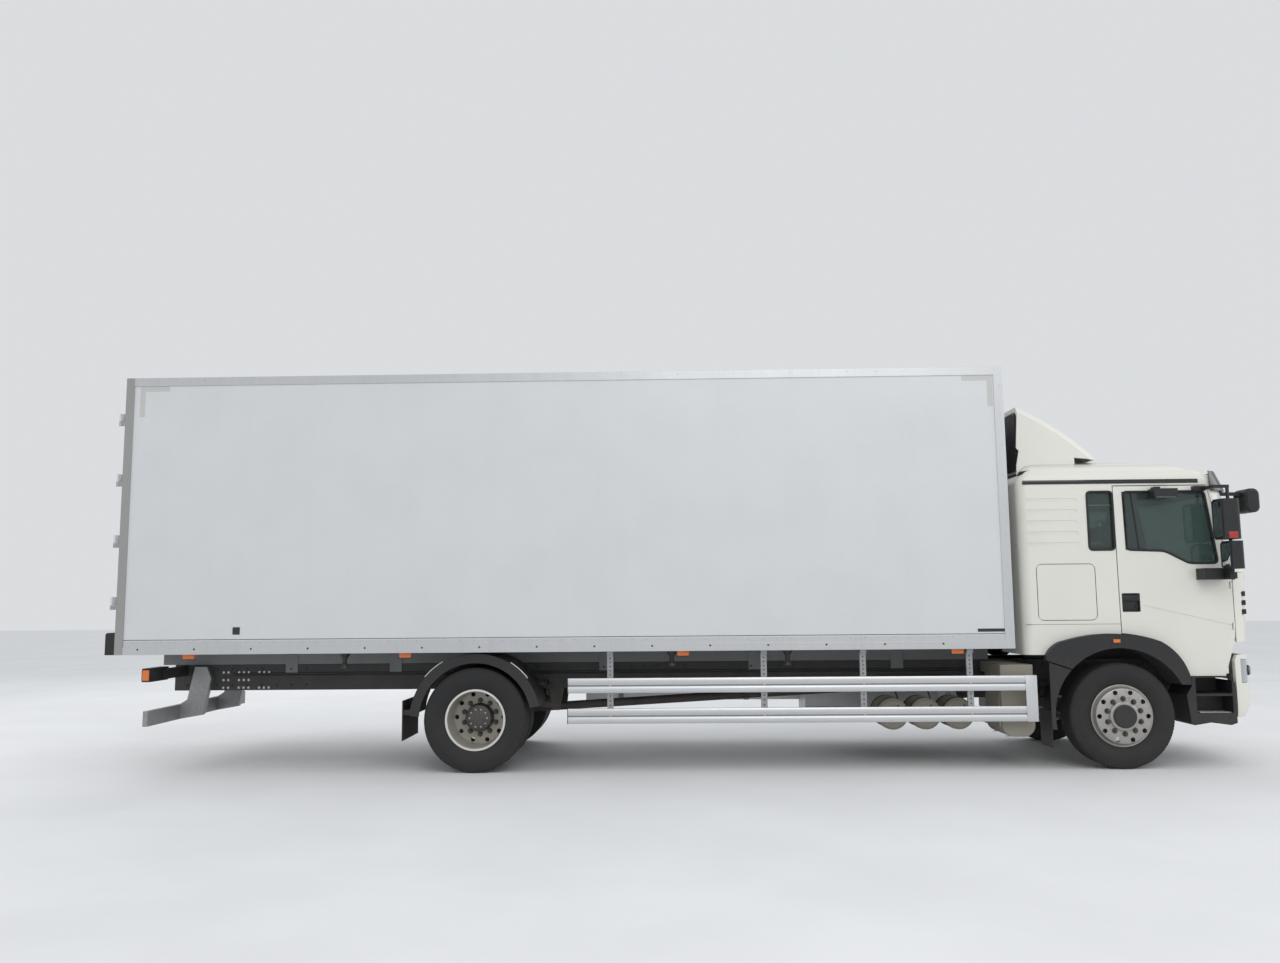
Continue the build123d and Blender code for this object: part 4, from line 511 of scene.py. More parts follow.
@dataclass(frozen=True)
class Glazing:
    """Tinted safety glass.

    Attributes:
        name: Name of the material.
        tint: Colour of the glass.
        gloss: Roughness.
        clear: Share of light that passes.
    """

    name: str
    tint: Colour
    gloss: float = 0.03
    clear: float = 0.9

    def build(self, effects: Effects) -> bpy.types.Material:
        """Makes the glass.

        Args:
            effects: The shared shader groups.

        Returns:
            The new material.
        """
        material, graph, shader = blank_material(self.name)
        film = graph.group(effects.film, {"Colour": (*self.tint, 1.0), "Top": 2.2, "Amount": 0.05})
        grain = graph.group(effects.grain, {"Gloss": self.gloss, "Spread": 0.03})
        values = {
            "Base Color": film.outputs["Colour"],
            "Roughness": grain.outputs["Gloss"],
            "Transmission Weight": self.clear,
            "IOR": 1.45,
        }
        for name, value in values.items():
            graph.feed(shader.inputs[name], value)
        return material


class Shape:
    """Gathers solid forms in one mesh, in the truck's own frame."""

    def __init__(self) -> None:
        """Starts empty."""
        self.mesh = bmesh.new()

    def slab(self, low: Point, high: Point, soft: float = 0.002) -> "Shape":
        """Adds a block with rounded edges.

        Args:
            low: Its lowest corner.
            high: Its highest corner.
            soft: Radius of the edges, 0 for none.

        Returns:
            This shape.
        """
        middle = (Vector(low) + Vector(high)) / 2
        half = (Vector(high) - Vector(low)) / 2
        corners = bmesh.ops.create_cube(self.mesh, size=2.0)["verts"]
        for vert in corners:
            vert.co = middle + Vector(part * size for part, size in zip(vert.co, half))
        if soft:
            edges = list({edge for vert in corners for edge in vert.link_edges})
            bmesh.ops.bevel(
                self.mesh, geom=edges, offset=soft, segments=2, profile=0.5, affect="EDGES", clamp_overlap=True
            )
        return self

    def blocks(self, side: int, rows: Iterable[Sequence[float]]) -> "Shape":
        """Adds blocks that are given outwards from the truck's middle plane.

        Args:
            side: -1 on the right and 1 on the left.
            rows: For each block its two ends in X, its two distances from the
                middle plane, its two heights and the radius of its edges.

        Returns:
            This shape.
        """
        for start, stop, inner, outer, low, high, soft in rows:
            near, far = sorted((side * inner, side * outer))
            self.slab((start, near, low), (stop, far, high), soft)
        return self

    def prism(
        self, outline: Section, across: str, start: float, stop: float
    ) -> "Shape":
        """Adds a solid of one outline between two planes.

        Args:
            outline: Corners, on the two axes that are left in the order x, y, z.
            across: Axis that the planes stand across: "x", "y" or "z".
            start: First plane.
            stop: Second plane.

        Returns:
            This shape.
        """
        def point(pair: tuple[float, float], depth: float) -> Vector:
            """Puts a corner of the outline in space."""
            values = list(pair)
            values.insert("xyz".index(across), depth)
            return Vector(values)

        rings = [[self.mesh.verts.new(point(pair, depth)) for pair in outline] for depth in (start, stop)]
        count = len(outline)
        for index in range(count):
            after = (index + 1) % count
            self.mesh.faces.new((rings[0][index], rings[0][after], rings[1][after], rings[1][index]))
        self.mesh.faces.new(rings[0])
        self.mesh.faces.new(reversed(rings[1]))
        return self

    def lathe(
        self,
        centre: Point,
        section: Section,
        across: str = "y",
        steps: int = 72,
        closed: bool = True,
    ) -> "Shape":
        """Adds a turned solid.

        Args:
            centre: Point on its axis from which the section is measured.
            section: Pairs of distance along the axis and radius.
            across: The axis: "x", "y" or "z".
            steps: Number of flats round it.
            closed: Whether the last point joins the first.

        Returns:
            This shape.
        """
        main = "xyz".index(across)
        other = [axis for axis in range(3) if axis != main]
        rings: list[list[bmesh.types.BMVert]] = []
        for along, radius in section:
            ring = []
            for step in range(steps if radius > 1e-6 else 1):
                angle = 2 * math.pi * step / steps
                place = list(centre)
                place[main] += along
                place[other[0]] += radius * math.cos(angle)
                place[other[1]] += radius * math.sin(angle)
                ring.append(self.mesh.verts.new(place))
            rings.append(ring)
        pairs = list(zip(rings, rings[1:]))
        if closed:
            pairs.append((rings[-1], rings[0]))
        for first, second in pairs:
            for step in range(steps):
                after = (step + 1) % steps
                corners = (
                    first[step % len(first)],
                    first[after % len(first)],
                    second[after % len(second)],
                    second[step % len(second)],
                )
                unique = list(dict.fromkeys(corners))
                if len(unique) > 2:
                    self.mesh.faces.new(unique)
        return self

    def tube(self, points: Sequence[Point], radius: float, sides: int = 12, bend: float = 0.0) -> "Shape":
        """Adds a round bar or pipe along points.

        Args:
            points: Its line.
            radius: Its radius.
            sides: Number of flats.
            bend: Radius of the bends, 0 for sharp ones.

        Returns:
            This shape.
        """
        line = [Vector(point) for point in points]
        if bend:
            line = rounded(line, bend)
        across: Optional[Vector] = None
        rings = []
        for index, spot in enumerate(line):
            before = line[max(index - 1, 0)]
            after = line[min(index + 1, len(line) - 1)]
            along = (after - before).normalized()
            if across is None:
                guide = Vector((0, 0, 1)) if abs(along.z) < 0.9 else Vector((1, 0, 0))
                across = along.cross(guide).normalized()
            across = (across - along * across.dot(along)).normalized()
            side = along.cross(across)
            ring = []
            for step in range(sides):
                angle = 2 * math.pi * step / sides
                ring.append(
                    self.mesh.verts.new(spot + radius * (math.cos(angle) * across + math.sin(angle) * side))
                )
            rings.append(ring)
        for first, second in zip(rings, rings[1:]):
            for step in range(sides):
                after = (step + 1) % sides
                self.mesh.faces.new((first[step], first[after], second[after], second[step]))
        self.mesh.faces.new(rings[0])
        self.mesh.faces.new(reversed(rings[-1]))
        return self

    def add(self, mesh: bpy.types.Mesh) -> "Shape":
        """Adds a copy of another mesh, which is in its place."""
        self.mesh.from_mesh(mesh)
        return self

    def data(self, name: str, sharp: float = 35.0) -> bpy.types.Mesh:
        """Turns the gathered forms into a mesh with its faces outwards.

        Args:
            name: Name of the mesh.
            sharp: Edges steeper than this angle, in degrees, stay sharp.

        Returns:
            The mesh.
        """
        bmesh.ops.recalc_face_normals(self.mesh, faces=self.mesh.faces)
        mesh = bpy.data.meshes.new(name)
        self.mesh.to_mesh(mesh)
        self.mesh.free()
        mesh.shade_smooth()
        mesh.set_sharp_from_angle(angle=math.radians(sharp))
        return mesh


def rounded(line: Sequence[Vector], radius: float, steps: int = 5) -> list[Vector]:
    """Rounds the corners of a bar's line.

    Args:
        line: Its corners.
        radius: How far from a corner the bend starts.
        steps: Pieces of each bend.

    Returns:
        The finer line.
    """
    result = [line[0]]
    for before, corner, after in zip(line, line[1:], line[2:]):
        reach = min(radius, (corner - before).length * 0.45, (after - corner).length * 0.45)
        start = corner + (before - corner).normalized() * reach
        end = corner + (after - corner).normalized() * reach
        for step in range(steps + 1):
            share = step / steps
            result.append(start.lerp(corner, share).lerp(corner.lerp(end, share), share))
    result.append(line[-1])
    return result


class Repeater:
    """Geometry Nodes that set out copies of a small shape in fields and rings."""

    def __init__(self) -> None:
        """Builds the two trees."""
        self.field_tree, self.field_sockets = self._field()
        self.ring_tree, self.ring_sockets = self._ring()

    @staticmethod
    def _tree(name: str, inputs: Sequence[tuple[str, str]]) -> tuple[Graph, bpy.types.Node, list[str]]:
        """Starts a geometry tree with named inputs.

        Args:
            name: The tree's name.
            inputs: Name and socket type of each input after the geometry.

        Returns:
            The graph, its input node and the inputs' identifiers in their order.
        """
        tree = bpy.data.node_groups.new(name, "GeometryNodeTree")
        geometry = "NodeSocketGeometry"
        tree.interface.new_socket("Geometry", in_out="INPUT", socket_type=geometry)
        sockets = [
            tree.interface.new_socket(label, in_out="INPUT", socket_type=kind).identifier
            for label, kind in (*inputs, ("Material", "NodeSocketMaterial"))
        ]
        tree.interface.new_socket("Geometry", in_out="OUTPUT", socket_type=geometry)
        graph = Graph(tree)
        return graph, graph.node("NodeGroupInput"), sockets

    @staticmethod
    def _close(graph: Graph, given: bpy.types.Node, geometry: Socket) -> None:
        """Ends a tree in Realize Instances and Set Material."""
        real = graph.node("GeometryNodeRealizeInstances")
        graph.feed(real.inputs[0], geometry)
        paint = graph.node("GeometryNodeSetMaterial")
        graph.feed(paint.inputs["Geometry"], real.outputs[0])
        graph.feed(paint.inputs["Material"], given.outputs["Material"])
        result = graph.node("NodeGroupOutput")
        graph.feed(result.inputs[0], paint.outputs[0])

    def _field(self) -> tuple[bpy.types.NodeTree, list[str]]:
        """Rows of copies, side by side."""
        whole = "NodeSocketInt"
        graph, given, sockets = self._tree(
            "fastener_field",
            (("Start", VECTOR), ("Count", whole), ("Step", VECTOR), ("Rows", whole), ("Row Step", VECTOR)),
        )
        line = graph.node("GeometryNodeMeshLine", mode="OFFSET")
        graph.feed(line.inputs["Count"], given.outputs["Count"])
        graph.feed(line.inputs["Start Location"], given.outputs["Start"])
        graph.feed(line.inputs["Offset"], given.outputs["Step"])
        rows = graph.node("GeometryNodeMeshLine", mode="OFFSET")
        graph.feed(rows.inputs["Count"], given.outputs["Rows"])
        graph.feed(rows.inputs["Offset"], given.outputs["Row Step"])
        spread = graph.node("GeometryNodeInstanceOnPoints")
        graph.feed(spread.inputs["Points"], rows.outputs[0])
        graph.feed(spread.inputs["Instance"], line.outputs[0])
        points = graph.node("GeometryNodeRealizeInstances")
        graph.feed(points.inputs[0], spread.outputs[0])
        copies = graph.node("GeometryNodeInstanceOnPoints")
        graph.feed(copies.inputs["Points"], points.outputs[0])
        graph.feed(copies.inputs["Instance"], given.outputs["Geometry"])
        self._close(graph, given, copies.outputs[0])
        return graph.tree, sockets

    def _ring(self) -> tuple[bpy.types.NodeTree, list[str]]:
        """A ring of copies round an axis along Y, each turned to face outwards."""
        graph, given, sockets = self._tree(
            "wheel_ring", (
                ("Centre", VECTOR), ("Count", "NodeSocketInt"), ("Radius", FLOAT), ("Phase", FLOAT)
            )
        )
        circle = graph.node("GeometryNodeMeshCircle")
        graph.feed(circle.inputs["Vertices"], given.outputs["Count"])
        graph.feed(circle.inputs["Radius"], given.outputs["Radius"])
        copies = graph.node("GeometryNodeInstanceOnPoints")
        graph.feed(copies.inputs["Points"], circle.outputs[0])
        graph.feed(copies.inputs["Instance"], given.outputs["Geometry"])
        index = graph.node("GeometryNodeInputIndex")
        share = graph.math("DIVIDE", index.outputs[0], given.outputs["Count"])
        turn = graph.node("ShaderNodeCombineXYZ")
        graph.feed(turn.inputs["Z"], graph.math("MULTIPLY", share, 2 * math.pi))
        graph.feed(copies.inputs["Rotation"], turn.outputs[0])
        lean = graph.node("ShaderNodeCombineXYZ")
        lean.inputs["X"].default_value = math.pi / 2
        graph.feed(lean.inputs["Y"], given.outputs["Phase"])
        stand = graph.node("GeometryNodeTransform")
        graph.feed(stand.inputs["Geometry"], copies.outputs[0])
        graph.feed(stand.inputs["Translation"], given.outputs["Centre"])
        graph.feed(stand.inputs["Rotation"], lean.outputs[0])
        self._close(graph, given, stand.outputs[0])
        return graph.tree, sockets

    @staticmethod
    def _run(unit: Shape, tree: bpy.types.NodeTree, values: Iterable[tuple[str, object]]) -> bpy.types.Mesh:
        """Runs a tree on a small shape.

        Args:
            unit: The shape that is copied.
            tree: The tree.
            values: Each modifier input's identifier and its value.

        Returns:
            The plain mesh of all the copies.
        """
        holder = bpy.data.objects.new("unit", unit.data("unit"))
        bpy.context.scene.collection.objects.link(holder)
        modifier = holder.modifiers.new("repeat", "NODES")
        modifier.node_group = tree
        for identifier, value in values:
            modifier[identifier] = value
        graph = bpy.context.evaluated_depsgraph_get()
        mesh = bpy.data.meshes.new_from_object(holder.evaluated_get(graph))
        source = holder.data
        bpy.data.objects.remove(holder)
        bpy.data.meshes.remove(source)
        return mesh

    def field(
        self,
        unit: Shape,
        material: bpy.types.Material,
        start: Point,
        count: int,
        step: Point,
        rows: int = 1,
        row_step: Point = (0, 0, 0),
    ) -> bpy.types.Mesh:
        """Sets out rows of copies.

        Args:
            unit: The small shape, modelled round the origin.
            material: Its material.
            start: Place of the first copy.
            count: Copies in a row.
            step: From one copy to the next.
            rows: Number of rows.
            row_step: From one row to the next.

        Returns:
            The mesh of all the copies.
        """
        values = (start, count, step, rows, row_step, material)
        return self._run(unit, self.field_tree, zip(self.field_sockets, values))

    def ring(
        self,
        unit: Shape,
        material: bpy.types.Material,
        centre: Point,
        count: int,
        radius: float,
        phase: float = 0.0,
    ) -> bpy.types.Mesh:
        """Sets out a ring of copies round an axis along Y.

        Args:
            unit: The small shape: +X radial, +Z towards -Y of the truck, round the origin.
            material: Its material.
            centre: Middle of the ring.
            count: Number of copies.
            radius: Radius of the ring.
            phase: Turn of the whole ring, in radians.

        Returns:
            The mesh of all the copies.
        """
        values = (centre, count, radius, phase, material)
        return self._run(unit, self.ring_tree, zip(self.ring_sockets, values))


class Paint(Enum):
    """Every solid finish on the truck."""

    CAB = Finish("cab_cream", (0.700, 0.690, 0.625), 0.30, coat=0.35, relief=0.008, film=0.08, film_top=1.5)
    BOX = Finish(
        "box_panel_white", (0.600, 0.615, 0.620), 0.38, coat=0.15, relief=0.02, film=0.06, film_top=2.0,
        streaks=0.05,
    )
    LINING = Finish("box_lining", (0.66, 0.66, 0.64), 0.45, film=0.1, scuffs=0.25, rubbed=(0.45, 0.45, 0.44))
    RAIL = Finish(
        "edge_aluminium", (0.60, 0.61, 0.62), 0.38, metal=0.7, film=0.12, film_top=1.7, streaks=0.2,
        pattern=Pattern.BRUSHED, pitch=110,
    )
    GUARD = Finish(
        "guard_aluminium", (0.66, 0.67, 0.68), 0.34, metal=0.7, film=0.05, pattern=Pattern.BRUSHED, pitch=110
    )
    FLANGE = Finish(
        "flange_silver", (0.66, 0.65, 0.61), 0.42, metal=0.3, film=0.06, scuffs=0.2, rubbed=(0.4, 0.38, 0.34)
    )
    STAINLESS = Finish(
        "portal_steel", (0.42, 0.42, 0.41), 0.32, metal=0.9, film=0.25, film_top=1.8, streaks=0.25,
        pattern=Pattern.BRUSHED, pitch=160,
    )
    BLACK = Finish(
        "black_plastic", (0.012, 0.012, 0.013), 0.50, film=0.07, film_top=1.6, grain=700, relief=0.12,
        scuffs=0.12, rubbed=(0.09, 0.09, 0.09),
    )
    GLOSS_BLACK = Finish("gloss_black", (0.012, 0.012, 0.013), 0.18, coat=0.4, film=0.08, relief=0.01)
    FRAME = Finish(
        "frame_paint", (0.018, 0.018, 0.019), 0.45, film=0.22, film_top=1.3, scuffs=0.3,
        rubbed=(0.12, 0.10, 0.085),
    )
    SUBFRAME = Finish(
        "subframe_grey", (0.16, 0.17, 0.175), 0.48, film=0.4, film_top=1.5, streaks=0.25, scuffs=0.2,
        rubbed=(0.10, 0.09, 0.08),
    )
    GALVANISED = Finish(
        "galvanised_steel", (0.36, 0.37, 0.375), 0.46, metal=0.7, film=0.3, scuffs=0.15,
        rubbed=(0.25, 0.22, 0.19), pattern=Pattern.SPANGLE, pitch=55,
    )
    TANK = Finish("tank_beige", (0.27, 0.25, 0.20), 0.5, film=0.35, scuffs=0.3, rubbed=(0.18, 0.15, 0.11))
    FUEL = Finish(
        "fuel_aluminium", (0.48, 0.49, 0.50), 0.36, metal=0.9, film=0.3, scuffs=0.2,
        rubbed=(0.35, 0.34, 0.33), pattern=Pattern.BRUSHED, pitch=90,
    )
    TYRE = Finish(
        "tyre_rubber", (0.011, 0.011, 0.012), 0.74, film=0.05, film_top=1.25, grain=420, relief=0.18
    )
    RIM = Finish(
        "rim_aluminium", (0.42, 0.41, 0.39), 0.42, metal=0.75, film=0.35, film_top=1.2, scuffs=0.45,
        rubbed=(0.16, 0.14, 0.12),
    )
    RIM_PAINT = Finish(
        "rim_silver", (0.42, 0.40, 0.345), 0.46, metal=0.25, film=0.15, film_top=1.2, scuffs=0.35,
        rubbed=(0.15, 0.12, 0.095),
    )
    BRIGHT = Finish(
        "bright_metal", (0.55, 0.55, 0.55), 0.28, metal=0.95, film=0.18, scuffs=0.1, rubbed=(0.4, 0.4, 0.4)
    )
    NUT = Finish(
        "dark_steel", (0.085, 0.082, 0.078), 0.42, metal=0.8, film=0.2, scuffs=0.4, rubbed=(0.28, 0.26, 0.24)
    )
    CAST = Finish(
        "cast_iron", (0.035, 0.033, 0.032), 0.62, film=0.35, scuffs=0.3, rubbed=(0.13, 0.10, 0.08),
        pattern=Pattern.CAST, pitch=90, relief=0.2,
    )
    RUBBER = Finish(
        "buffer_rubber", (0.020, 0.020, 0.020), 0.75, film=0.3, grain=500, relief=0.15, scuffs=0.2,
        rubbed=(0.08, 0.08, 0.08),
    )
    RED_LENS = Finish(
        "red_lens", (0.36, 0.018, 0.012), 0.12, coat=0.7, film=0.18, pattern=Pattern.STUDS, pitch=120,
        relief=0.12,
    )
    ORANGE_LENS = Finish(
        "orange_lens", (0.70, 0.16, 0.012), 0.14, coat=0.7, film=0.12, pattern=Pattern.STUDS, pitch=150,
        relief=0.12,
    )
    CLEAR_LENS = Finish(
        "clear_lens", (0.33, 0.35, 0.37), 0.08, coat=0.9, film=0.1, pattern=Pattern.STUDS, pitch=70,
        relief=0.08,
    )
    CHROME = Finish("lamp_chrome", (0.75, 0.76, 0.77), 0.08, metal=1.0, film=0.05, relief=0.0)
    FABRIC = Finish(
        "seat_cloth", (0.045, 0.055, 0.085), 0.85, film=0.0, pattern=Pattern.WEAVE, pitch=380, relief=0.25
    )
    BUNK = Finish(
        "bunk_cloth", (0.14, 0.15, 0.18), 0.9, film=0.0, pattern=Pattern.WEAVE, pitch=300, relief=0.25
    )
    DASH = Finish("dash_plastic", (0.055, 0.055, 0.058), 0.6, film=0.0, grain=800, relief=0.15)
    SEAL = Finish("rubber_seal", (0.012, 0.012, 0.012), 0.6, film=0.15, grain=500, relief=0.1)
    MIRROR = Finish("mirror_glass", (0.62, 0.66, 0.68), 0.03, metal=1.0, film=0.0, relief=0.0)
    TAPE = Finish("pale_tape", (0.50, 0.50, 0.485), 0.35, film=0.1, streaks=0.1)
    WHITE_LENS = Finish(
        "white_lens", (0.62, 0.63, 0.64), 0.14, coat=0.7, film=0.18, pattern=Pattern.STUDS, pitch=120,
        relief=0.12,
    )


class Glass(Enum):
    """Every glass on the truck."""

    WINDOW = Glazing("tinted_glass", (0.20, 0.27, 0.25), 0.02, 0.85)


# columns: finish, radius of the edges in a smooth copy or 0 where the node itself stays, nodes
FINISHES: tuple[tuple[Enum, float, tuple[str, ...]], ...] = (
    (Paint.CAB, 0.003, ("cab_shell", "front_panel", "door_right", "door_left")),
    (Paint.CAB, 0.006, ("cab_roof", "roof_fairing")),
    (Paint.CAB, 0.008, ("bumper",)),
    (Paint.GLOSS_BLACK, 0.003, ("sun_visor",)),
    (Paint.BLACK, 0.002, ("grille", "front_mudguards")),
    (Paint.BLACK, 0.004, ("arch_flares", "rear_mudguards", "rear_lamps")),
    (Paint.BLACK, 0.005, ("step_wells",)),
    (Paint.BLACK, 0.010, ("mirrors_right", "mirrors_left", "front_mirror")),
    (Paint.CLEAR_LENS, 0.010, ("headlamps",)),
    (Paint.DASH, 0.008, ("dashboard",)),
    (Paint.RAIL, 0.002, ("box_edge_rails",)),
    (Paint.STAINLESS, 0.002, ("portal_posts",)),
    (Paint.STAINLESS, 0.003, ("portal_beams",)),
    (Paint.BOX, 0.003, ("rear_door_right", "rear_door_left")),
    (Paint.RUBBER, 0.006, ("dock_buffers",)),
    (Paint.GUARD, 0.003, ("guard_rails",)),
    (Paint.GALVANISED, 0.001, ("guard_posts",)),
    (Paint.GALVANISED, 0.004, ("underrun",)),
    (Paint.FUEL, 0.020, ("fuel_tank",)),
    (Paint.TANK, 0.004, ("air_tanks",)),
    (Paint.TANK, 0.010, ("silencer",)),
    (Paint.ORANGE_LENS, 0.003, ("side_markers",)),
    (Paint.FRAME, 0.004, ("frame_rails",)),
    (Paint.FRAME, 0.002, ("crossmembers",)),
    (Paint.SUBFRAME, 0.003, ("subframe",)),
    (Glass.WINDOW, 0.0, ("cab_glass", "door_window_right", "door_window_left")),
    (Paint.LINING, 0.0, ("box_floor",)),
    (Paint.BOX, 0.0, ("box_wall_right", "box_wall_left", "box_front_wall", "box_roof")),
    (Paint.CAST, 0.0, ("front_axle_beam", "rear_axle_beam", "knuckle_right", "knuckle_left", "tie_rod")),
    (Paint.CAST, 0.0, ("suspension", "driveline")),
)


class Workshop:
    """Holds the frame and the materials, and turns shapes into pieces."""

    def __init__(self, frame: dict) -> None:
        """Builds the materials.
        """
        self.frame = frame
        self.effects = Effects()
        self.repeat = Repeater()
        self.looks: dict[Enum, bpy.types.Material] = {
            look: look.value.build(self.effects) for family in (Paint, Glass) for look in family
        }
        record = frame["record"]
        self.slots = {entry["node"]: entry["material_slot"] for entry in record["subparts"]}
        self.bodies = {
            node: body for body, nodes in record["behaviour"]["bodies"].items() for node in nodes
        }
        self.count = 0

    def piece(
        self,
        name: str,
        shape: Union[Shape, bpy.types.Mesh],
        look: Enum,
        like: str,
        replaces: Sequence[str] = (),
        sharp: float = 35.0,
    ) -> bpy.types.Object:
        """Makes a piece that rides with a node's body.

        Args:
            name: Name of the piece.
            shape: Its form.
            look: Its finish.
            like: Node whose body it rides on.
            replaces: Nodes that it stands for.
            sharp: Sharp angle of its edges, in degrees.

        Returns:
            The object.
        """
        mesh = shape.data(name, sharp) if isinstance(shape, Shape) else shape
        mesh.materials.clear()
        mesh.materials.append(self.looks[look])
        item = bpy.data.objects.new(name, mesh)
        bpy.context.scene.collection.objects.link(item)
        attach(item, self.bodies[like])
        if replaces:
            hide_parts(*replaces)
        self.count += 1
        LOG.info("%s: %d faces on %s", name, len(mesh.polygons), self.bodies[like])
        return item

    def blocks(
        self, name: str, look: Paint, like: str, side: int, rows: Iterable[Sequence[float]]
    ) -> bpy.types.Object:
        """Makes a piece of blocks.

        Args:
            name: Name of the piece.
            look: Its finish.
            like: Node whose body it rides on.
            side: -1 on the right and 1 on the left.
            rows: The blocks, as Shape.blocks takes them.

        Returns:
            The object.
        """
        return self.piece(name, Shape().blocks(side, rows), look, like)

    def fasteners(
        self, name: str, look: Paint, like: str, make: Callable[[], Shape], rows: Iterable[tuple]
    ) -> bpy.types.Object:
        """Makes a piece of fields of equal fasteners.

        Args:
            name: Name of the piece.
            look: Its finish.
            like: Node whose body it rides on.
            make: Makes one fastener round the origin.
            rows: For each field its start, the number and step of the copies and,
                where there are more rows than one, their number and step.

        Returns:
            The object.
        """
        shape = Shape()
        for row in rows:
            shape.add(self.repeat.field(make(), self.looks[look], *row))
        return self.piece(name, shape, look, like)

    def skin(self, node: str, look: Enum, soft: float) -> bpy.types.Object:
        """Replaces a node by a copy with rounded edges and smooth curves.

        Args:
            node: The node.
            look: Its finish.
            soft: Radius of its edges.

        Returns:
            The piece that stands for it.
        """
        form = bmesh.new()
        form.from_mesh(self.frame["nodes"][node].data)
        bmesh.ops.remove_doubles(form, verts=form.verts, dist=MERGE_DISTANCE)
        bmesh.ops.dissolve_limit(
            form, angle_limit=FLAT_ANGLE, verts=form.verts, edges=form.edges, delimit={"NORMAL"}
        )
        mesh = bpy.data.meshes.new(node + "_skin")
        form.to_mesh(mesh)
        form.free()
        mesh.shade_smooth()
        item = bpy.data.objects.new(node + "_skin", mesh)
        bpy.context.scene.collection.objects.link(item)
        bevel = item.modifiers.new("edges", "BEVEL")
        bevel.width = soft
        bevel.segments = 2
        bevel.limit_method = "ANGLE"
        bevel.angle_limit = EDGE_ANGLE
        bevel.use_clamp_overlap = True
        shade = item.modifiers.new("shade", "WEIGHTED_NORMAL")
        shade.keep_sharp = False
        shade.weight = 60
        graph = bpy.context.evaluated_depsgraph_get()
        finished = bpy.data.meshes.new_from_object(item.evaluated_get(graph))
        finished.name = node + "_form"
        bpy.data.objects.remove(item)
        bpy.data.meshes.remove(mesh)
        return self.piece(node + "_dressed", finished, look, node, (node,))

    def touch(self, node: str, lift: float) -> Callable[[float, float], Point]:
        """Finds places on a node's front.

        Args:
            node: The node.
            lift: How far before the surface the places lie.

        Returns:
            A function that gives the place at a lateral distance and a height.
        """
        form = bmesh.new()
        form.from_mesh(self.frame["nodes"][node].data)
        tree = BVHTree.FromBMesh(form)
        form.free()

        def place(y: float, z: float) -> Point:
            """Finds the front of the node at one lateral distance and height."""
            hit = tree.ray_cast(Vector((20.0, y, z)), Vector((-1, 0, 0)))[0]
            return (hit.x + lift, y, z)

        return place

    def dress(self) -> None:
        """Gives every node its finish, or a smooth copy that has it."""
        for look, soft, nodes in FINISHES:
            for node in nodes:
                if soft:
                    self.skin(node, look, soft)
                    continue
                item = self.frame["nodes"][node]
                item.data.materials.clear()
                item.data.materials.append(self.looks[look])


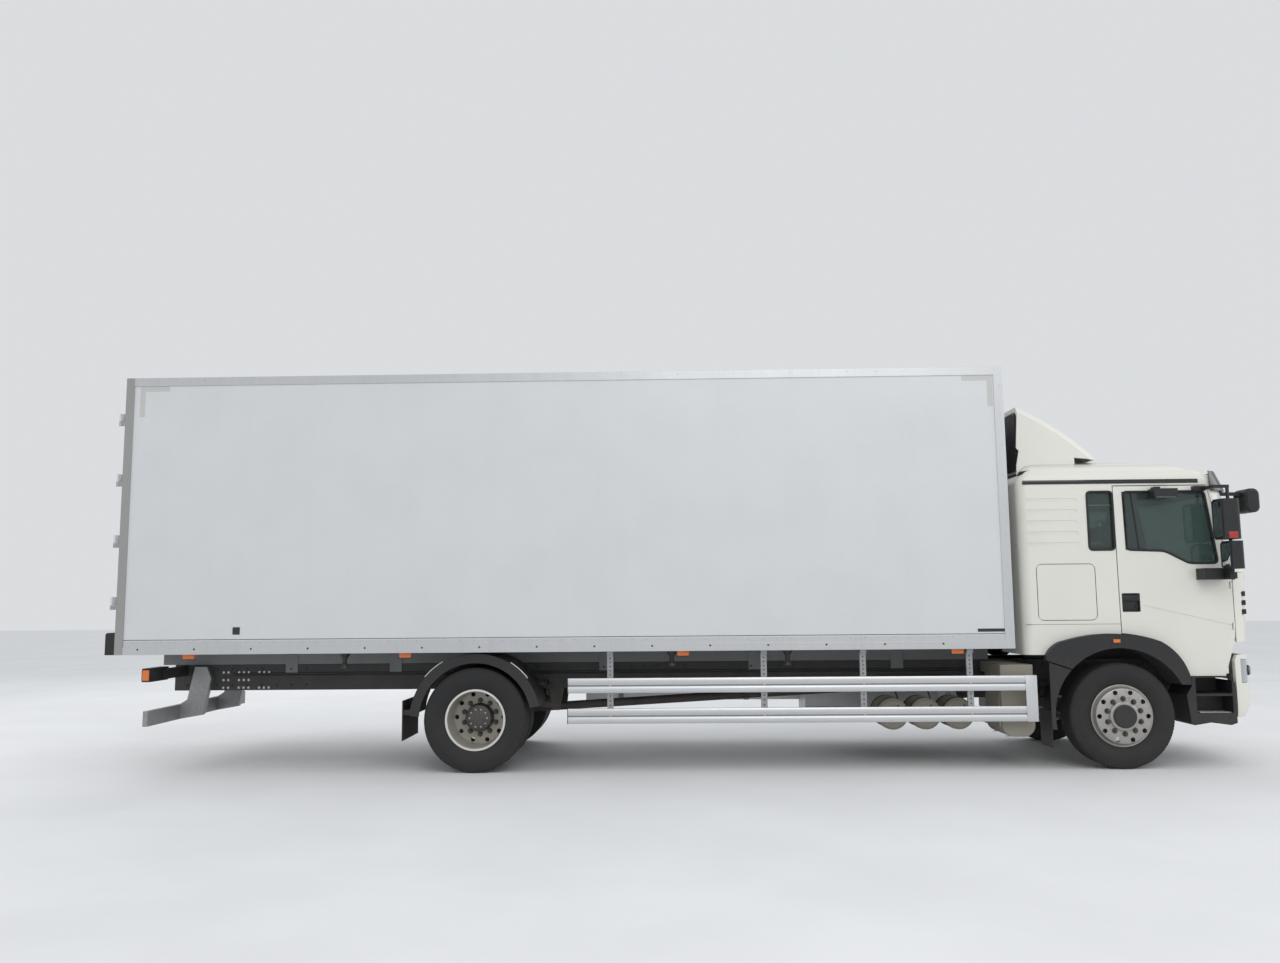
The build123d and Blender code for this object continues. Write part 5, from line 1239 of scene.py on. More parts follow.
@dataclass
class Studio:
    """Floor, lights and the camera at the photograph's place.

    Attributes:
        eye: Place of the camera.
        pitch: How far it looks up, in degrees.
        yaw: Its turn to the left, in degrees.
        roll: Its roll, in degrees.
        focus: Focal length, in pixels of the photograph.
    """

    eye: Point = (-0.1814, -11.6175, 1.6516)
    pitch: float = 6.536
    yaw: float = -1.381
    roll: float = -0.491
    focus: float = 1045.19

    def build(self) -> None:
        """Sets up the whole studio."""
        self._floor()
        self._world()
        self._lamps()
        self._camera()
        bpy.context.scene.view_settings.view_transform = "Standard"

    def _floor(self) -> None:
        """Plain pale floor that reaches past the view."""
        mesh = bpy.data.meshes.new("floor")
        reach = 60.0
        mesh.from_pydata(
            [
                (-reach, -reach, 0), (reach, -reach, 0), (reach, reach, 0), (-reach, reach, 0)
            ], [], [(0, 1, 2, 3)]
        )
        item = bpy.data.objects.new("floor", mesh)
        bpy.context.scene.collection.objects.link(item)
        material, graph, shader = blank_material("floor_pale")
        tone = graph.remap(graph.noise(graph.place(), 0.6, 4.0), 0.3, 0.7)
        graph.feed(shader.inputs["Base Color"], graph.mix(tone, (0.66, 0.66, 0.66, 1), (0.70, 0.70, 0.70, 1)))
        shader.inputs["Roughness"].default_value = 0.85
        item.data.materials.append(material)
        item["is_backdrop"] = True

    def _world(self) -> None:
        """Even light from all round, with a pale backdrop for the camera."""
        world = bpy.data.worlds.new("studio")
        world.use_nodes = True
        graph = Graph(world.node_tree)
        world.node_tree.nodes.clear()
        light = graph.node("ShaderNodeBackground")
        light.inputs["Color"].default_value = (0.93, 0.96, 1.0, 1)
        light.inputs["Strength"].default_value = 0.95
        backdrop = graph.node("ShaderNodeBackground")
        backdrop.inputs["Color"].default_value = (0.86, 0.88, 0.90, 1)
        backdrop.inputs["Strength"].default_value = 0.82
        ray = graph.node("ShaderNodeLightPath")
        seen = graph.math("MAXIMUM", ray.outputs["Is Camera Ray"], ray.outputs["Is Glossy Ray"])
        seen = graph.math("MAXIMUM", seen, ray.outputs["Is Transmission Ray"])
        blend = graph.node("ShaderNodeMixShader")
        graph.feed(blend.inputs[0], seen)
        graph.tree.links.new(light.outputs[0], blend.inputs[1])
        graph.tree.links.new(backdrop.outputs[0], blend.inputs[2])
        result = graph.node("ShaderNodeOutputWorld")
        graph.tree.links.new(blend.outputs[0], result.inputs[0])
        bpy.context.scene.world = world

    def _lamps(self) -> None:
        """Large soft lamps: one on the photographed side, one behind, one over the front."""
        # columns: name, place, aim, size, watts
        table = (
            ("key", (3.0, -13.0, 10.0), (0.5, 0.0, 1.6), 9.0, 480.0),
            ("back", (-6.0, 13.0, 9.0), (0.0, 0.0, 1.8), 9.0, 420.0),
            ("front", (15.0, -3.0, 7.0), (3.0, 0.0, 1.6), 7.0, 320.0),
            ("rear", (-15.0, -2.0, 7.0), (-3.0, 0.0, 1.6), 7.0, 300.0),
        )
        for name, place, aim, size, power in table:
            lamp = bpy.data.lights.new(name, "AREA")
            lamp.size = size
            lamp.energy = power
            item = bpy.data.objects.new(name, lamp)
            item.location = place
            item.rotation_euler = (Vector(aim) - Vector(place)).to_track_quat("-Z", "Y").to_euler()
            bpy.context.scene.collection.objects.link(item)

    def _camera(self) -> None:
        """Camera at the photograph's viewing angle."""
        pitch, yaw, roll = (math.radians(angle) for angle in (self.pitch, self.yaw, self.roll))
        forward = Vector((math.sin(yaw) * math.cos(pitch), math.cos(yaw) * math.cos(pitch), math.sin(pitch)))
        level = Vector((math.cos(yaw), -math.sin(yaw), 0))
        up = level.cross(forward)
        right = level * math.cos(roll) + up * math.sin(roll)
        top = up * math.cos(roll) - level * math.sin(roll)
        camera = bpy.data.cameras.new("photo_camera")
        camera.sensor_fit = "HORIZONTAL"
        camera.sensor_width = SENSOR
        camera.lens = self.focus * SENSOR / PHOTO_WIDTH
        camera.clip_end = 200.0
        item = bpy.data.objects.new("photo_camera", camera)
        basis = Matrix((right, top, -forward)).transposed().to_4x4()
        item.matrix_world = Matrix.Translation(self.eye) @ basis
        bpy.context.scene.collection.objects.link(item)
        bpy.context.scene.camera = item


def turned(section: Section, steps: int, across: str = "y") -> Shape:
    """Turns a small solid round the origin.

    Args:
        section: Pairs of distance along the axis and radius, from axis to axis.
        steps: Number of flats round it.
        across: The axis.

    Returns:
        The shape.
    """
    return Shape().lathe((0, 0, 0), section, across, steps, False)


def dome(radius: float, height: float, across: str = "y", side: int = -1) -> Shape:
    """Makes the head of a rivet or round screw round the origin.

    Args:
        radius: Radius of its foot.
        height: How far it stands out.
        across: Axis it stands along.
        side: Direction on that axis.

    Returns:
        The shape.
    """
    section = [(0.0, 0.0), (0.0, radius), (side * height * 0.6, radius * 0.78), (side * height, 0.0)]
    return turned(section, 12, across)


def bolt_head(radius: float, height: float, across: str = "y", side: int = -1) -> Shape:
    """Makes a hexagon head on its washer round the origin.

    Args:
        radius: Radius of the hexagon.
        height: How far it stands out.
        across: Axis it stands along.
        side: Direction on that axis.

    Returns:
        The shape.
    """
    tall, thin = side * height, side * height * 0.22
    washer = [(0.0, 0.0), (0.0, radius * 1.35), (thin, radius * 1.3), (thin, 0.0)]
    head = [(tall * 0.2, 0.0), (tall * 0.2, radius), (tall * 0.85, radius), (tall, radius * 0.8), (tall, 0.0)]
    return turned(washer, 14, across).lathe((0, 0, 0), head, across, 6, False)


# Sections of the wheels' turned parts: distance along the axle and radius
TYRE_SIDE = (
    (-0.113, 0.289), (-0.125, 0.302), (-0.140, 0.330), (-0.152, 0.366), (-0.156, 0.400), (-0.1545, 0.430),
    (-0.1535, 0.433), (-0.1525, 0.431), (-0.149, 0.458), (-0.143, 0.484), (-0.134, 0.496), (-0.126, 0.5045),
)
TYRE_BEADS = ((0.113, 0.2872), (-0.113, 0.2872))
RIM_EDGES = (
    (-0.126, 0.2985), (-0.1185, 0.2985), (-0.1175, 0.2870), (0.1175, 0.2870), (0.1185, 0.2985),
    (0.126, 0.2985), (0.128, 0.2925), (0.124, 0.2785),
)
FRONT_RIM = (
    *RIM_EDGES, (0.150, 0.2735), (0.166, 0.2640), (0.172, 0.2500), (0.172, 0.1420), (0.188, 0.1400),
    (0.194, 0.1300), (0.194, 0.0), (0.117, 0.0), (0.117, 0.0456), (-0.042, 0.0456), (-0.042, 0.2150),
    (0.0, 0.2150), (0.0, 0.1050), (0.160, 0.1050), (0.160, 0.2480), (0.152, 0.2600), (0.118, 0.2690),
    (-0.126, 0.2775),
)
REAR_RIM = (
    *RIM_EDGES, (-0.118, 0.2700), (-0.150, 0.2600), (-0.160, 0.2480), (-0.160, 0.1400), (-0.172, 0.1400),
    (-0.172, 0.2500), (-0.166, 0.2640), (-0.150, 0.2735), (-0.126, 0.2785),
)
REAR_FLANGE = ((0.1265, 0.2978), (0.1310, 0.2965), (0.1310, 0.2800), (0.1268, 0.2760))
REAR_HUB = (
    (-0.210, 0.0756), (-0.210, 0.205), (-0.012, 0.205), (-0.012, 0.141), (0.012, 0.141), (0.012, 0.139),
    (0.050, 0.137), (0.096, 0.133), (0.112, 0.128), (0.120, 0.115), (0.120, 0.0), (0.0585, 0.0),
    (0.0585, 0.0756),
)
FRONT_COVER = ((0.0, 0.112), (0.012, 0.110), (0.018, 0.102), (0.020, 0.0))
NUT_WASHER = ((0.0, 0.0), (0.0, 0.0265), (0.005, 0.0260), (0.005, 0.0))
WHEEL_NUT = ((0.004, 0.0), (0.004, 0.0205), (0.024, 0.0205), (0.028, 0.0170), (0.028, 0.0))
STUD_END = ((0.026, 0.0), (0.026, 0.011), (0.040, 0.0105), (0.041, 0.0))
HUB_BOLT = ((0.0, 0.0), (0.0, 0.010), (0.009, 0.010), (0.011, 0.008), (0.011, 0.0))
VENT = ((0.10, 0.0), (0.10, 0.023), (0.20, 0.023), (0.20, 0.0))


def facing(section: Iterable[tuple[float, float]], side: int) -> list[tuple[float, float]]:
    """Turns a section to a side.

    Args:
        section: Pairs of distance and radius.
        side: 1 to keep its direction and -1 to turn it round.

    Returns:
        The turned section.
    """
    return [(side * along, radius) for along, radius in section]


@dataclass
class Wheels:
    """Tyres, rims, nuts and hubs of all four corners.

    Attributes:
        front: X of the front axle.
        rear: X of the rear axle.
        height: Height of both axles.
        front_y: Lateral place of a front rim.
        pair_y: Plane where the two rear rims of a side meet.
        reach: From a rim's middle to the disc that its nuts hold.
        grooves: Distances of a tyre's grooves from its middle.
        lugs: Number of blocks round a tyre's shoulder.
        bolts: Number of nuts, hub bolts and vents round a wheel.
        vent_circle: Radius of the circle that the vents lie on.
        nut_circle: Radius of the circle that the nuts lie on.
        nut_phase: Turn of that circle, in radians.
    """

    front: float = 4.230
    rear: float = -2.070
    height: float = 0.507
    front_y: float = 1.034
    pair_y: float = 0.912
    reach: float = 0.172
    grooves: tuple[float, ...] = (-0.083, -0.029, 0.029, 0.083)
    lugs: int = 96
    bolts: int = 10
    vent_circle: float = 0.234
    nut_circle: float = 0.1675
    nut_phase: float = 0.31

    def build(self, shop: Workshop) -> None:
        """Makes the wheels of both sides."""
        for name, side in SIDES.items():
            pair = (side * (self.pair_y + self.reach), side * (self.pair_y - self.reach))
            self._tyre(
                shop, f"tyre_front_{name}_tread", f"tyre_front_{name}", self.front, (side * self.front_y,)
            )
            self._tyre(shop, f"tyre_rear_{name}_tread", f"tyres_rear_{name}", self.rear, pair)
            self._front_rim(shop, name, side)
            self._rear_rims(shop, name, side)

    def _tyre(self, shop: Workshop, piece: str, node: str, x: float, centres: Sequence[float]) -> None:
        """Makes one or two tyres with their grooves, blocks and side ribs.

        Args:
            shop: The workshop.
            piece: Name of the piece.
            node: Node that it replaces.
            x: Place of the axle.
            centres: Lateral places of the tyres.
        """
        profile = list(TYRE_SIDE)
        for groove in self.grooves:
            crown = 0.5065 - 0.0024 * (abs(groove) / 0.126) ** 2
            for along, depth in ((-0.0065, 0.0), (-0.004, 0.013), (0.004, 0.013), (0.0065, 0.0)):
                profile.append((groove + along, crown - depth))
        profile += facing(reversed(TYRE_SIDE), -1)
        profile += TYRE_BEADS
        outline = ((-0.010, -0.008), (0.0065, -0.006), (0.0065, 0.006), (-0.010, 0.008))
        body = Shape()
        for centre in centres:
            body.lathe((x, centre, self.height), profile, steps=120)
            for shoulder, phase in ((-0.1365, 0.0), (0.1365, math.pi / self.lugs)):
                lug = Shape().prism(outline, "z", -0.006, 0.006)
                place = (x, centre + shoulder, self.height)
                body.add(shop.repeat.ring(lug, shop.looks[Paint.TYRE], place, self.lugs, 0.4925, phase))
        shop.piece(piece, body, Paint.TYRE, node, (node,), sharp=28)

    def _front_rim(self, shop: Workshop, name: str, side: int) -> None:
        """Makes a worn aluminium front rim with its hub, cover, nuts and vents."""
        node = f"rim_front_{name}"
        body = self._drilled((self.front, side * self.front_y, self.height), FRONT_RIM, side, side)
        shop.piece(f"rim_front_{name}_form", body, Paint.RIM, node, (node,), sharp=30)
        disc = (self.front, side * (self.front_y + self.reach), self.height)
        self._nuts(shop, f"wheel_nuts_front_{name}", node, disc, side)
        end = (self.front, side * (self.front_y + 0.194), self.height)
        cap = Shape().lathe(end, facing(FRONT_COVER, side), closed=False)
        shop.piece(f"hub_cover_front_{name}", cap, Paint.BLACK, node)

    def _rear_rims(self, shop: Workshop, name: str, side: int) -> None:
        """Makes a rear pair: two dished rims back to back, with drum and long hub."""
        node = f"rims_rear_{name}"
        outer, inner, middle, disc, end = (
            (self.rear, side * (self.pair_y + out), self.height)
            for out in (self.reach, -self.reach, 0.0, 0.012, 0.120)
        )
        rims = Shape().add(self._drilled(outer, REAR_RIM, side, -side))
        rims.add(self._drilled(inner, REAR_RIM, -side, side))
        shop.piece(f"rims_rear_{name}_form", rims, Paint.RIM_PAINT, node, (node,), sharp=30)
        hub = Shape().lathe(middle, facing(REAR_HUB, side), steps=72)
        shop.piece(f"hub_rear_{name}", hub, Paint.NUT, node)
        flange = Shape().lathe(outer, facing(REAR_FLANGE, side), steps=96)
        shop.piece(f"rim_flange_rear_{name}", flange, Paint.FLANGE, node)
        self._nuts(shop, f"wheel_nuts_rear_{name}", node, disc, side)
        bolt = turned(facing(HUB_BOLT, -side), 6, "z")
        ring = shop.repeat.ring(bolt, shop.looks[Paint.BRIGHT], end, self.bolts, 0.088)
        shop.piece(f"hub_bolts_rear_{name}", ring, Paint.BRIGHT, node)

    def _drilled(
        self, centre: Point, section: Section, face: int, disc: int
    ) -> bpy.types.Mesh:
        """Turns a rim and drills the vents of its disc.

        Args:
            centre: Middle of the rim.
            section: Its closed section.
            face: Direction along Y that the section is drawn in.
            disc: Direction along Y from the middle to the disc.

        Returns:
            The mesh.
        """
        form = Shape().lathe(centre, facing(section, face), steps=96)
        bits = Shape()
        for index in range(self.bolts):
            angle = 2 * math.pi * index / self.bolts
            across, up = self.vent_circle * math.cos(angle), self.vent_circle * math.sin(angle)
            place = (centre[0] + across, centre[1], centre[2] + up)
            bits.lathe(place, facing(VENT, disc), steps=20, closed=False)
        rim = bpy.data.objects.new("rim", form.data("rim", 30))
        drill = bpy.data.objects.new("drill", bits.data("drill"))
        for item in (rim, drill):
            bpy.context.scene.collection.objects.link(item)
        cut = rim.modifiers.new("vents", "BOOLEAN")
        cut.operation = "DIFFERENCE"
        cut.solver = "EXACT"
        cut.object = drill
        mesh = bpy.data.meshes.new_from_object(rim.evaluated_get(bpy.context.evaluated_depsgraph_get()))
        for item in (rim, drill):
            bpy.data.objects.remove(item)
        mesh.shade_smooth()
        mesh.set_sharp_from_angle(angle=math.radians(30))
        return mesh

    def _nuts(self, shop: Workshop, piece: str, node: str, disc: Point, side: int) -> None:
        """Sets the wheel nuts with their washers and stud ends on a disc.

        Args:
            shop: The workshop.
            piece: Name of the piece.
            node: Node of the rim.
            disc: Middle of the nuts' circle, on the disc.
            side: -1 on the right and 1 on the left.
        """
        unit = Shape()
        for section, steps in ((NUT_WASHER, 18), (WHEEL_NUT, 6), (STUD_END, 12)):
            unit.lathe((0, 0, 0), facing(section, -side), "z", steps, False)
        look = shop.looks[Paint.NUT]
        ring = shop.repeat.ring(unit, look, disc, self.bolts, self.nut_circle, self.nut_phase)
        shop.piece(piece, ring, Paint.NUT, node)


@dataclass
class BoxBody:
    """Rivets, joints, tapes and lock gear of the insulated box.

    Attributes:
        rear: X of the doors' outer face.
        portal: X where the side walls start.
        front: X of the front wall.
        half: Half width over the rails.
        panel: Half width over the panels.
        bottom: Height of the lower edge.
        top: Height of the roof.
        pitch: Distance between screws of the lower rail.
        leaf: Heights of a rear door's lower and upper edge.
        rods: Distances of a rear door's lock rods from the middle.
    """

    rear: float = -5.644
    portal: float = -5.560
    front: float = 3.191
    half: float = 1.300
    panel: float = 1.292
    bottom: float = 1.166
    top: float = 3.950
    pitch: float = 0.565
    leaf: tuple[float, float] = (1.398, 3.847)
    rods: tuple[float, float] = (0.230, 0.720)

    def build(self, shop: Workshop) -> None:
        """Adds every detail of the box."""
        for name, side in SIDES.items():
            self._rivets(shop, name, side)
            self._marks(shop, name, side)
            self._seal(shop, name, side)
            self._locks(shop, name, side)
        rivet = partial(dome, 0.007, 0.0028, "x", 1)
        row = ((self.front, -1.18, self.top - 0.030), 17, (0, 0.1475, 0))
        shop.fasteners("transom_rivets", Paint.BRIGHT, "box_edge_rails", rivet, [row])
        joints = [self.portal + (self.front - self.portal) * index / 4 for index in range(1, 4)]
        rows = [(x - 0.030, x + 0.030, -1.20, 1.20, 3.9455, 3.9485, 0.0012) for x in joints]
        shop.blocks("roof_joints", Paint.BOX, "box_roof", 1, rows)

    def _rivets(self, shop: Workshop, name: str, side: int) -> None:
        """Sets screws, rivets and sealant along the rails of one side."""
        node = "box_edge_rails"
        count = int((self.front - self.portal - 0.3) / self.pitch) + 1
        first, y = self.portal + 0.15, side * self.half
        row = ((first, y, self.bottom + 0.052), count, (self.pitch, 0, 0))
        screw = partial(dome, 0.0105, 0.0035, side=side)
        shop.fasteners(f"rail_screws_{name}", Paint.NUT, node, screw, [row])
        panel = (self.portal + 0.10, side * (self.panel + 0.004), self.bottom + 0.118)
        rows = [
            (panel, count * 4, (self.pitch / 4, 0, 0)),
            ((first, y, self.top - 0.030), count * 2, (self.pitch / 2, 0, 0)),
            ((self.front - 0.040, y, 1.36), 9, (0, 0, 0.30)),
        ]
        rivet = partial(dome, 0.0075, 0.0028, side=side)
        shop.fasteners(f"rail_rivets_{name}", Paint.BRIGHT, node, rivet, rows)
        start, stop = self.portal + 0.002, self.front - 0.072
        inner, outer = self.panel - 0.001, self.panel + 0.0022
        heights = (self.bottom + 0.1415, self.top - 0.0625)
        rows = [(start, stop, inner, outer, z, z + 0.005, 0.001) for z in heights]
        shop.blocks(f"panel_seal_{name}", Paint.SEAL, node, side, rows)

    def _marks(self, shop: Workshop, name: str, side: int) -> None:
        """Adds the corner tapes, the small dark plate and the black strip of a side."""
        node, near, high = "box_edge_rails", self.panel, 3.862
        tapes = []
        for x, inward in ((-5.500, 1), (3.085, -1)):
            for reach, low, top in ((0.300, high - 0.050, high), (0.050, high - 0.310, high - 0.050)):
                start, stop = sorted((x, x + inward * reach))
                tapes.append((start, stop, near, near + 0.0012, low, top, 0.0))
        shop.blocks(f"corner_tape_{name}", Paint.TAPE, node, side, tapes)
        for label, *place in (
            ("small_plate", -4.470, -4.398, 1.358, 1.430), ("black_strip", 2.838, 3.097, 1.330, 1.360)
        ):
            row = (*place[:2], near, near + 0.004, *place[2:], 0.0015)
            shop.blocks(f"{label}_{name}", Paint.GLOSS_BLACK, node, side, [row])

    def _seal(self, shop: Workshop, name: str, side: int) -> None:
        """Adds the rubber seal round a rear door."""
        inner, outer, low, high, lip = 0.006, 1.230, 1.400, 3.845, 0.022
        edges = (
            (inner, inner + lip, low, high),
            (outer - lip, outer, low, high),
            (inner, outer, low, low + lip),
            (inner, outer, high - lip, high),
        )
        rows = [(self.rear - 0.004, self.rear + 0.002, *edge, 0.0018) for edge in edges]
        shop.blocks(f"door_seal_{name}", Paint.SEAL, f"rear_door_{name}", side, rows)

    def _locks(self, shop: Workshop, name: str, side: int) -> None:
        """Adds the lock rods' sleeves, guides and handles and the hinge straps of a rear door."""
        node, face = f"rear_door_{name}", self.rear + 0.001
        gear, grips = Shape(), Shape()
        low, high = self.leaf
        rod = self.rear - 0.020
        guides = [low + share * (high - low) for share in (0.02, 0.34, 0.66, 0.98)]
        for y in self.rods:
            sleeve = [(0, 0.0), (0, 0.0116), (high - low - 0.044, 0.0116), (high - low - 0.044, 0.0)]
            gear.lathe((rod, side * y, low + 0.022), sleeve, "z", 20, False)
            gear.blocks(
                side,
                [(rod - 0.0148, face, y - 0.0328, y + 0.0328, z - 0.0288, z + 0.0288, 0.004) for z in guides],
            )
            gear.blocks(side, [(rod - 0.0085, rod + 0.0085, y, y + 0.420, 1.719, 1.751, 0.003)])
            grips.tube([(rod, side * (y + reach), 1.735) for reach in (0.150, 0.418)], 0.0185, 16)
        straps = [1.390 + (3.855 - 1.390) * (index + 0.5) / 4 for index in range(4)]
        gear.blocks(
            side, [(self.rear - 0.0086, face, 1.060, 1.2335, z - 0.0406, z + 0.0406, 0.001) for z in straps]
        )
        shop.piece(f"lock_gear_{name}", gear, Paint.BRIGHT, node)
        shop.piece(f"handle_grips_{name}", grips, Paint.BLACK, node)
        rows = [((rod - 0.0145, side * y - 0.024, z), 2, (0, 0.048, 0)) for y in self.rods for z in guides]
        shop.fasteners(f"lock_bolts_{name}", Paint.NUT, node, partial(bolt_head, 0.0065, 0.005, "x"), rows)
        rows = [
            ((self.rear - 0.008, side * 1.205, z - 0.022), 3, (0, -side * 0.045, 0), 2, (0, 0, 0.044))
            for z in straps
        ]
        shop.fasteners(f"hinge_bolts_{name}", Paint.BRIGHT, node, partial(bolt_head, 0.008, 0.006, "x"), rows)


@dataclass
class CabTrim:
    """Seals, handles, mirrors' glasses, wipers and lamps of the cab.

    Attributes:
        axle: X of the front axle.
        half: Half width of the cab.
        window: Corners of a door window in X from the axle and Z, with its dipped sill.
    """

    axle: float = 4.230
    half: float = 1.120
    window: tuple[tuple[float, float], ...] = (
        (0.151, 2.696), (0.161, 2.118), (0.530, 2.104), (0.764, 1.980), (1.046, 1.980), (0.953, 2.696)
    )

    def build(self, shop: Workshop) -> None:
        """Adds every detail of the cab."""
        strip, slots = Shape(), Shape()
        for side in SIDES.values():
            strip.blocks(
                side, [(3.395, self.axle + 0.900, self.half - 0.001, self.half + 0.006, 2.779, 2.820, 0.003)]
            )
            # dark slabs behind the front panel's three slots: painted shade in the slot openings
            slots.blocks(
                side, [(5.440, 5.535, 1.000, 1.085, z - 0.024, z + 0.024, 0.0) for z in (1.500, 1.588, 1.676)]
            )
        shop.piece("drip_strip", strip, Paint.GLOSS_BLACK, "cab_roof")
        shop.piece("slot_painted_shade", slots, Paint.BLACK, "front_panel")
        for name, side in SIDES.items():
            self._glazing(shop, name, side)
            self._handle(shop, name, side)
            self._gaps(shop, name, side)
            self._mirrors(shop, name, side)
            self._lamps(shop, name, side)
            self._steps(shop, name, side)
        self._screen(shop)
        self._wipers(shop)
        self._mesh(shop)
        self._fairing(shop)

    def _glazing(self, shop: Workshop, name: str, side: int) -> None:
        """Adds the rubber frames of a side's windows and the window's guide rail."""
        skin = side * (self.half - 0.0015)
        line = [(self.axle + x, skin, z) for x, z in self.window]
        door = Shape().tube(line + line[:2], 0.0115, 10, 0.045)
        guide = ((0.235, 2.690), (0.290, 2.120))
        door.tube([(self.axle + x, side * (self.half - 0.018), z) for x, z in guide], 0.009, 8)
        shop.piece(f"window_rubber_{name}", door, Paint.SEAL, f"door_{name}")
        x0, x1, z0, z1 = self.axle - 0.205, self.axle + 0.045, 2.120, 2.700
        middle = (x0 + x1) / 2
        loop = ((middle, z0), (x1, z0), (x1, z1), (x0, z1), (x0, z0), (middle, z0))
        quarter = Shape().tube([(x, skin, z) for x, z in loop], 0.0115, 10, 0.038)
        shop.piece(f"quarter_rubber_{name}", quarter, Paint.SEAL, "cab_shell")

    def _handle(self, shop: Workshop, name: str, side: int) -> None:
        """Adds the black door handle with its cup and lock."""
        x0, x1, z0, z1 = self.axle + 0.085, self.axle + 0.259, 1.508, 1.688
        skin, lip = self.half, 0.010
        edges = (
            (x0, x1, z0, z0 + lip), (x0, x1, z1 - lip, z1), (x0, x0 + lip, z0, z1), (x1 - lip, x1, z0, z1)
        )
        handle = Shape().blocks(side, [(x0, x1, skin - 0.0175, skin - 0.0140, z0, z1, 0.001)])
        handle.blocks(side, [(*edge[:2], skin - 0.018, skin + 0.003, *edge[2:], 0.002) for edge in edges])
        handle.blocks(
            side, [(x0 + 0.004, x1 - 0.006, skin - lip, skin + 0.006, z0 + 0.105, z0 + 0.164, 0.012)]
        )
        lock = (x1 - 0.028, side * (skin - 0.014), z0 + 0.050)
        section = [(0, 0.0), (0, 0.012), (side * 0.010, 0.011), (side * 0.011, 0.0)]
        handle.lathe(lock, section, "y", 20, False)
        shop.piece(f"door_handle_{name}", handle, Paint.BLACK, f"door_{name}")

    def _gaps(self, shop: Workshop, name: str, side: int) -> None:
        """Adds the seam under the rear of the cab and the gap round its hatch."""
        y = side * (self.half - 0.0012)
        gaps = Shape().tube([(self.axle - 0.868, y, 1.390), (self.axle + 0.060, y, 1.390)], 0.0022, 6)
        x, z, reach, rise = self.axle - 0.451, 1.706, 0.2875, 0.2765
        turns = ((0, -1), (1, -1), (1, 1), (-1, 1), (-1, -1), (0, -1))
        hatch = [(x + reach * across, y - side * 0.002, z + rise * up) for across, up in turns]
        gaps.tube(hatch, 0.0026, 6, 0.055)
        shop.piece(f"cab_seam_{name}", gaps, Paint.SEAL, "cab_shell")

    def _mirrors(self, shop: Workshop, name: str, side: int) -> None:
        """Adds the mirrors' glasses, rims and reflector, and the side repeater lamp."""
        node = f"mirrors_{name}"
        glass, rim = Shape(), Shape()
        for mid_x, mid_z, length, height in ((1.018, 2.393, 0.182, 0.389), (1.053, 2.047, 0.138, 0.267)):
            x = self.axle + mid_x - length / 2
            low, high = mid_z - height / 2, mid_z + height / 2
            glass.blocks(side, [(x - 0.0015, x + 0.004, 1.308, 1.472, low + 0.022, high - 0.022, 0.002)])
            low, high = low + 0.016, high - 0.016
            loop = ((1.39, low), (1.474, low), (1.474, high), (1.306, high), (1.306, low), (1.39, low))
            rim.tube([(x, side * y, z) for y, z in loop], 0.0055, 8, 0.025)
        shop.piece(f"mirror_glasses_{name}", glass, Paint.MIRROR, node)
        shop.piece(f"mirror_rims_{name}", rim, Paint.BLACK, node)
        x = self.axle + 1.018
        kerb = (self.axle + 0.400, self.axle + 0.600, 1.172, 1.288, 2.6235, 2.6275, 0.002)
        for label, look, like, row in (
            (
                "mirror_reflector", Paint.RED_LENS, node,
                (x - 0.040, x + 0.044, 1.487, 1.4912, 2.205, 2.268, 0.001),
            ),
            ("kerb_mirror_glass", Paint.MIRROR, node, kerb),
            ("repeater_base", Paint.BLACK, "arch_flares", (4.163, 4.243, 1.196, 1.204, 1.206, 1.249, 0.003)),
            (
                "repeater_lens", Paint.ORANGE_LENS, "arch_flares",
                (4.169, 4.237, 1.203, 1.211, 1.211, 1.244, 0.0035),
            ),
        ):
            shop.blocks(f"{label}_{name}", look, like, side, [row])

    def _lamps(self, shop: Workshop, name: str, side: int) -> None:
        """Adds the chromed bowls and rims on a head lamp's face."""
        bowls = Shape()
        for x, y, radius in ((5.583, 0.850, 0.062), (5.560, 0.985, 0.050)):
            section = [
                (0.0, radius), (0.010, radius), (0.012, radius - 0.006),
                (0.002, radius - 0.012), (-0.006, radius * 0.4), (-0.006, 0.0),
            ]
            bowls.lathe((x, side * y, 0.925), section, "x", 36, False)
        shop.piece(f"lamp_bowls_{name}", bowls, Paint.CHROME, "headlamps")

    def _steps(self, shop: Workshop, name: str, side: int) -> None:
        """Adds the toothed tread of the upper step."""
        near, far, z = 1.010, 1.150, 0.5290
        tread = Shape().blocks(side, [(4.985, 5.285, near, far, z, z + 0.006, 0.001)])
        first = (4.998, min(side * near, side * far) + 0.012, z + 0.006)
        teeth = dome(0.007, 0.004, "z", 1)
        tread.add(
            shop.repeat.field(teeth, shop.looks[Paint.BRIGHT], first, 15, (0.0195, 0, 0), 6, (0, 0.023, 0))
        )
        shop.piece(f"step_tread_{name}", tread, Paint.BRIGHT, "step_wells")

    def _screen(self, shop: Workshop) -> None:
        """Adds the rubber round the windscreen's foot and sides."""
        glass = shop.touch("cab_glass", 0.0005)
        rubber = Shape().tube([glass(-0.90 + 0.15 * step, 1.972) for step in range(13)], 0.010, 8)
        for side in SIDES.values():
            rise = [0.060 + 0.080 * step for step in range(9)]
            rubber.tube([glass(side * (0.955 - 0.086 * up), 1.955 + up) for up in rise], 0.008, 8)
        shop.piece("screen_rubber", rubber, Paint.SEAL, "cab_glass")

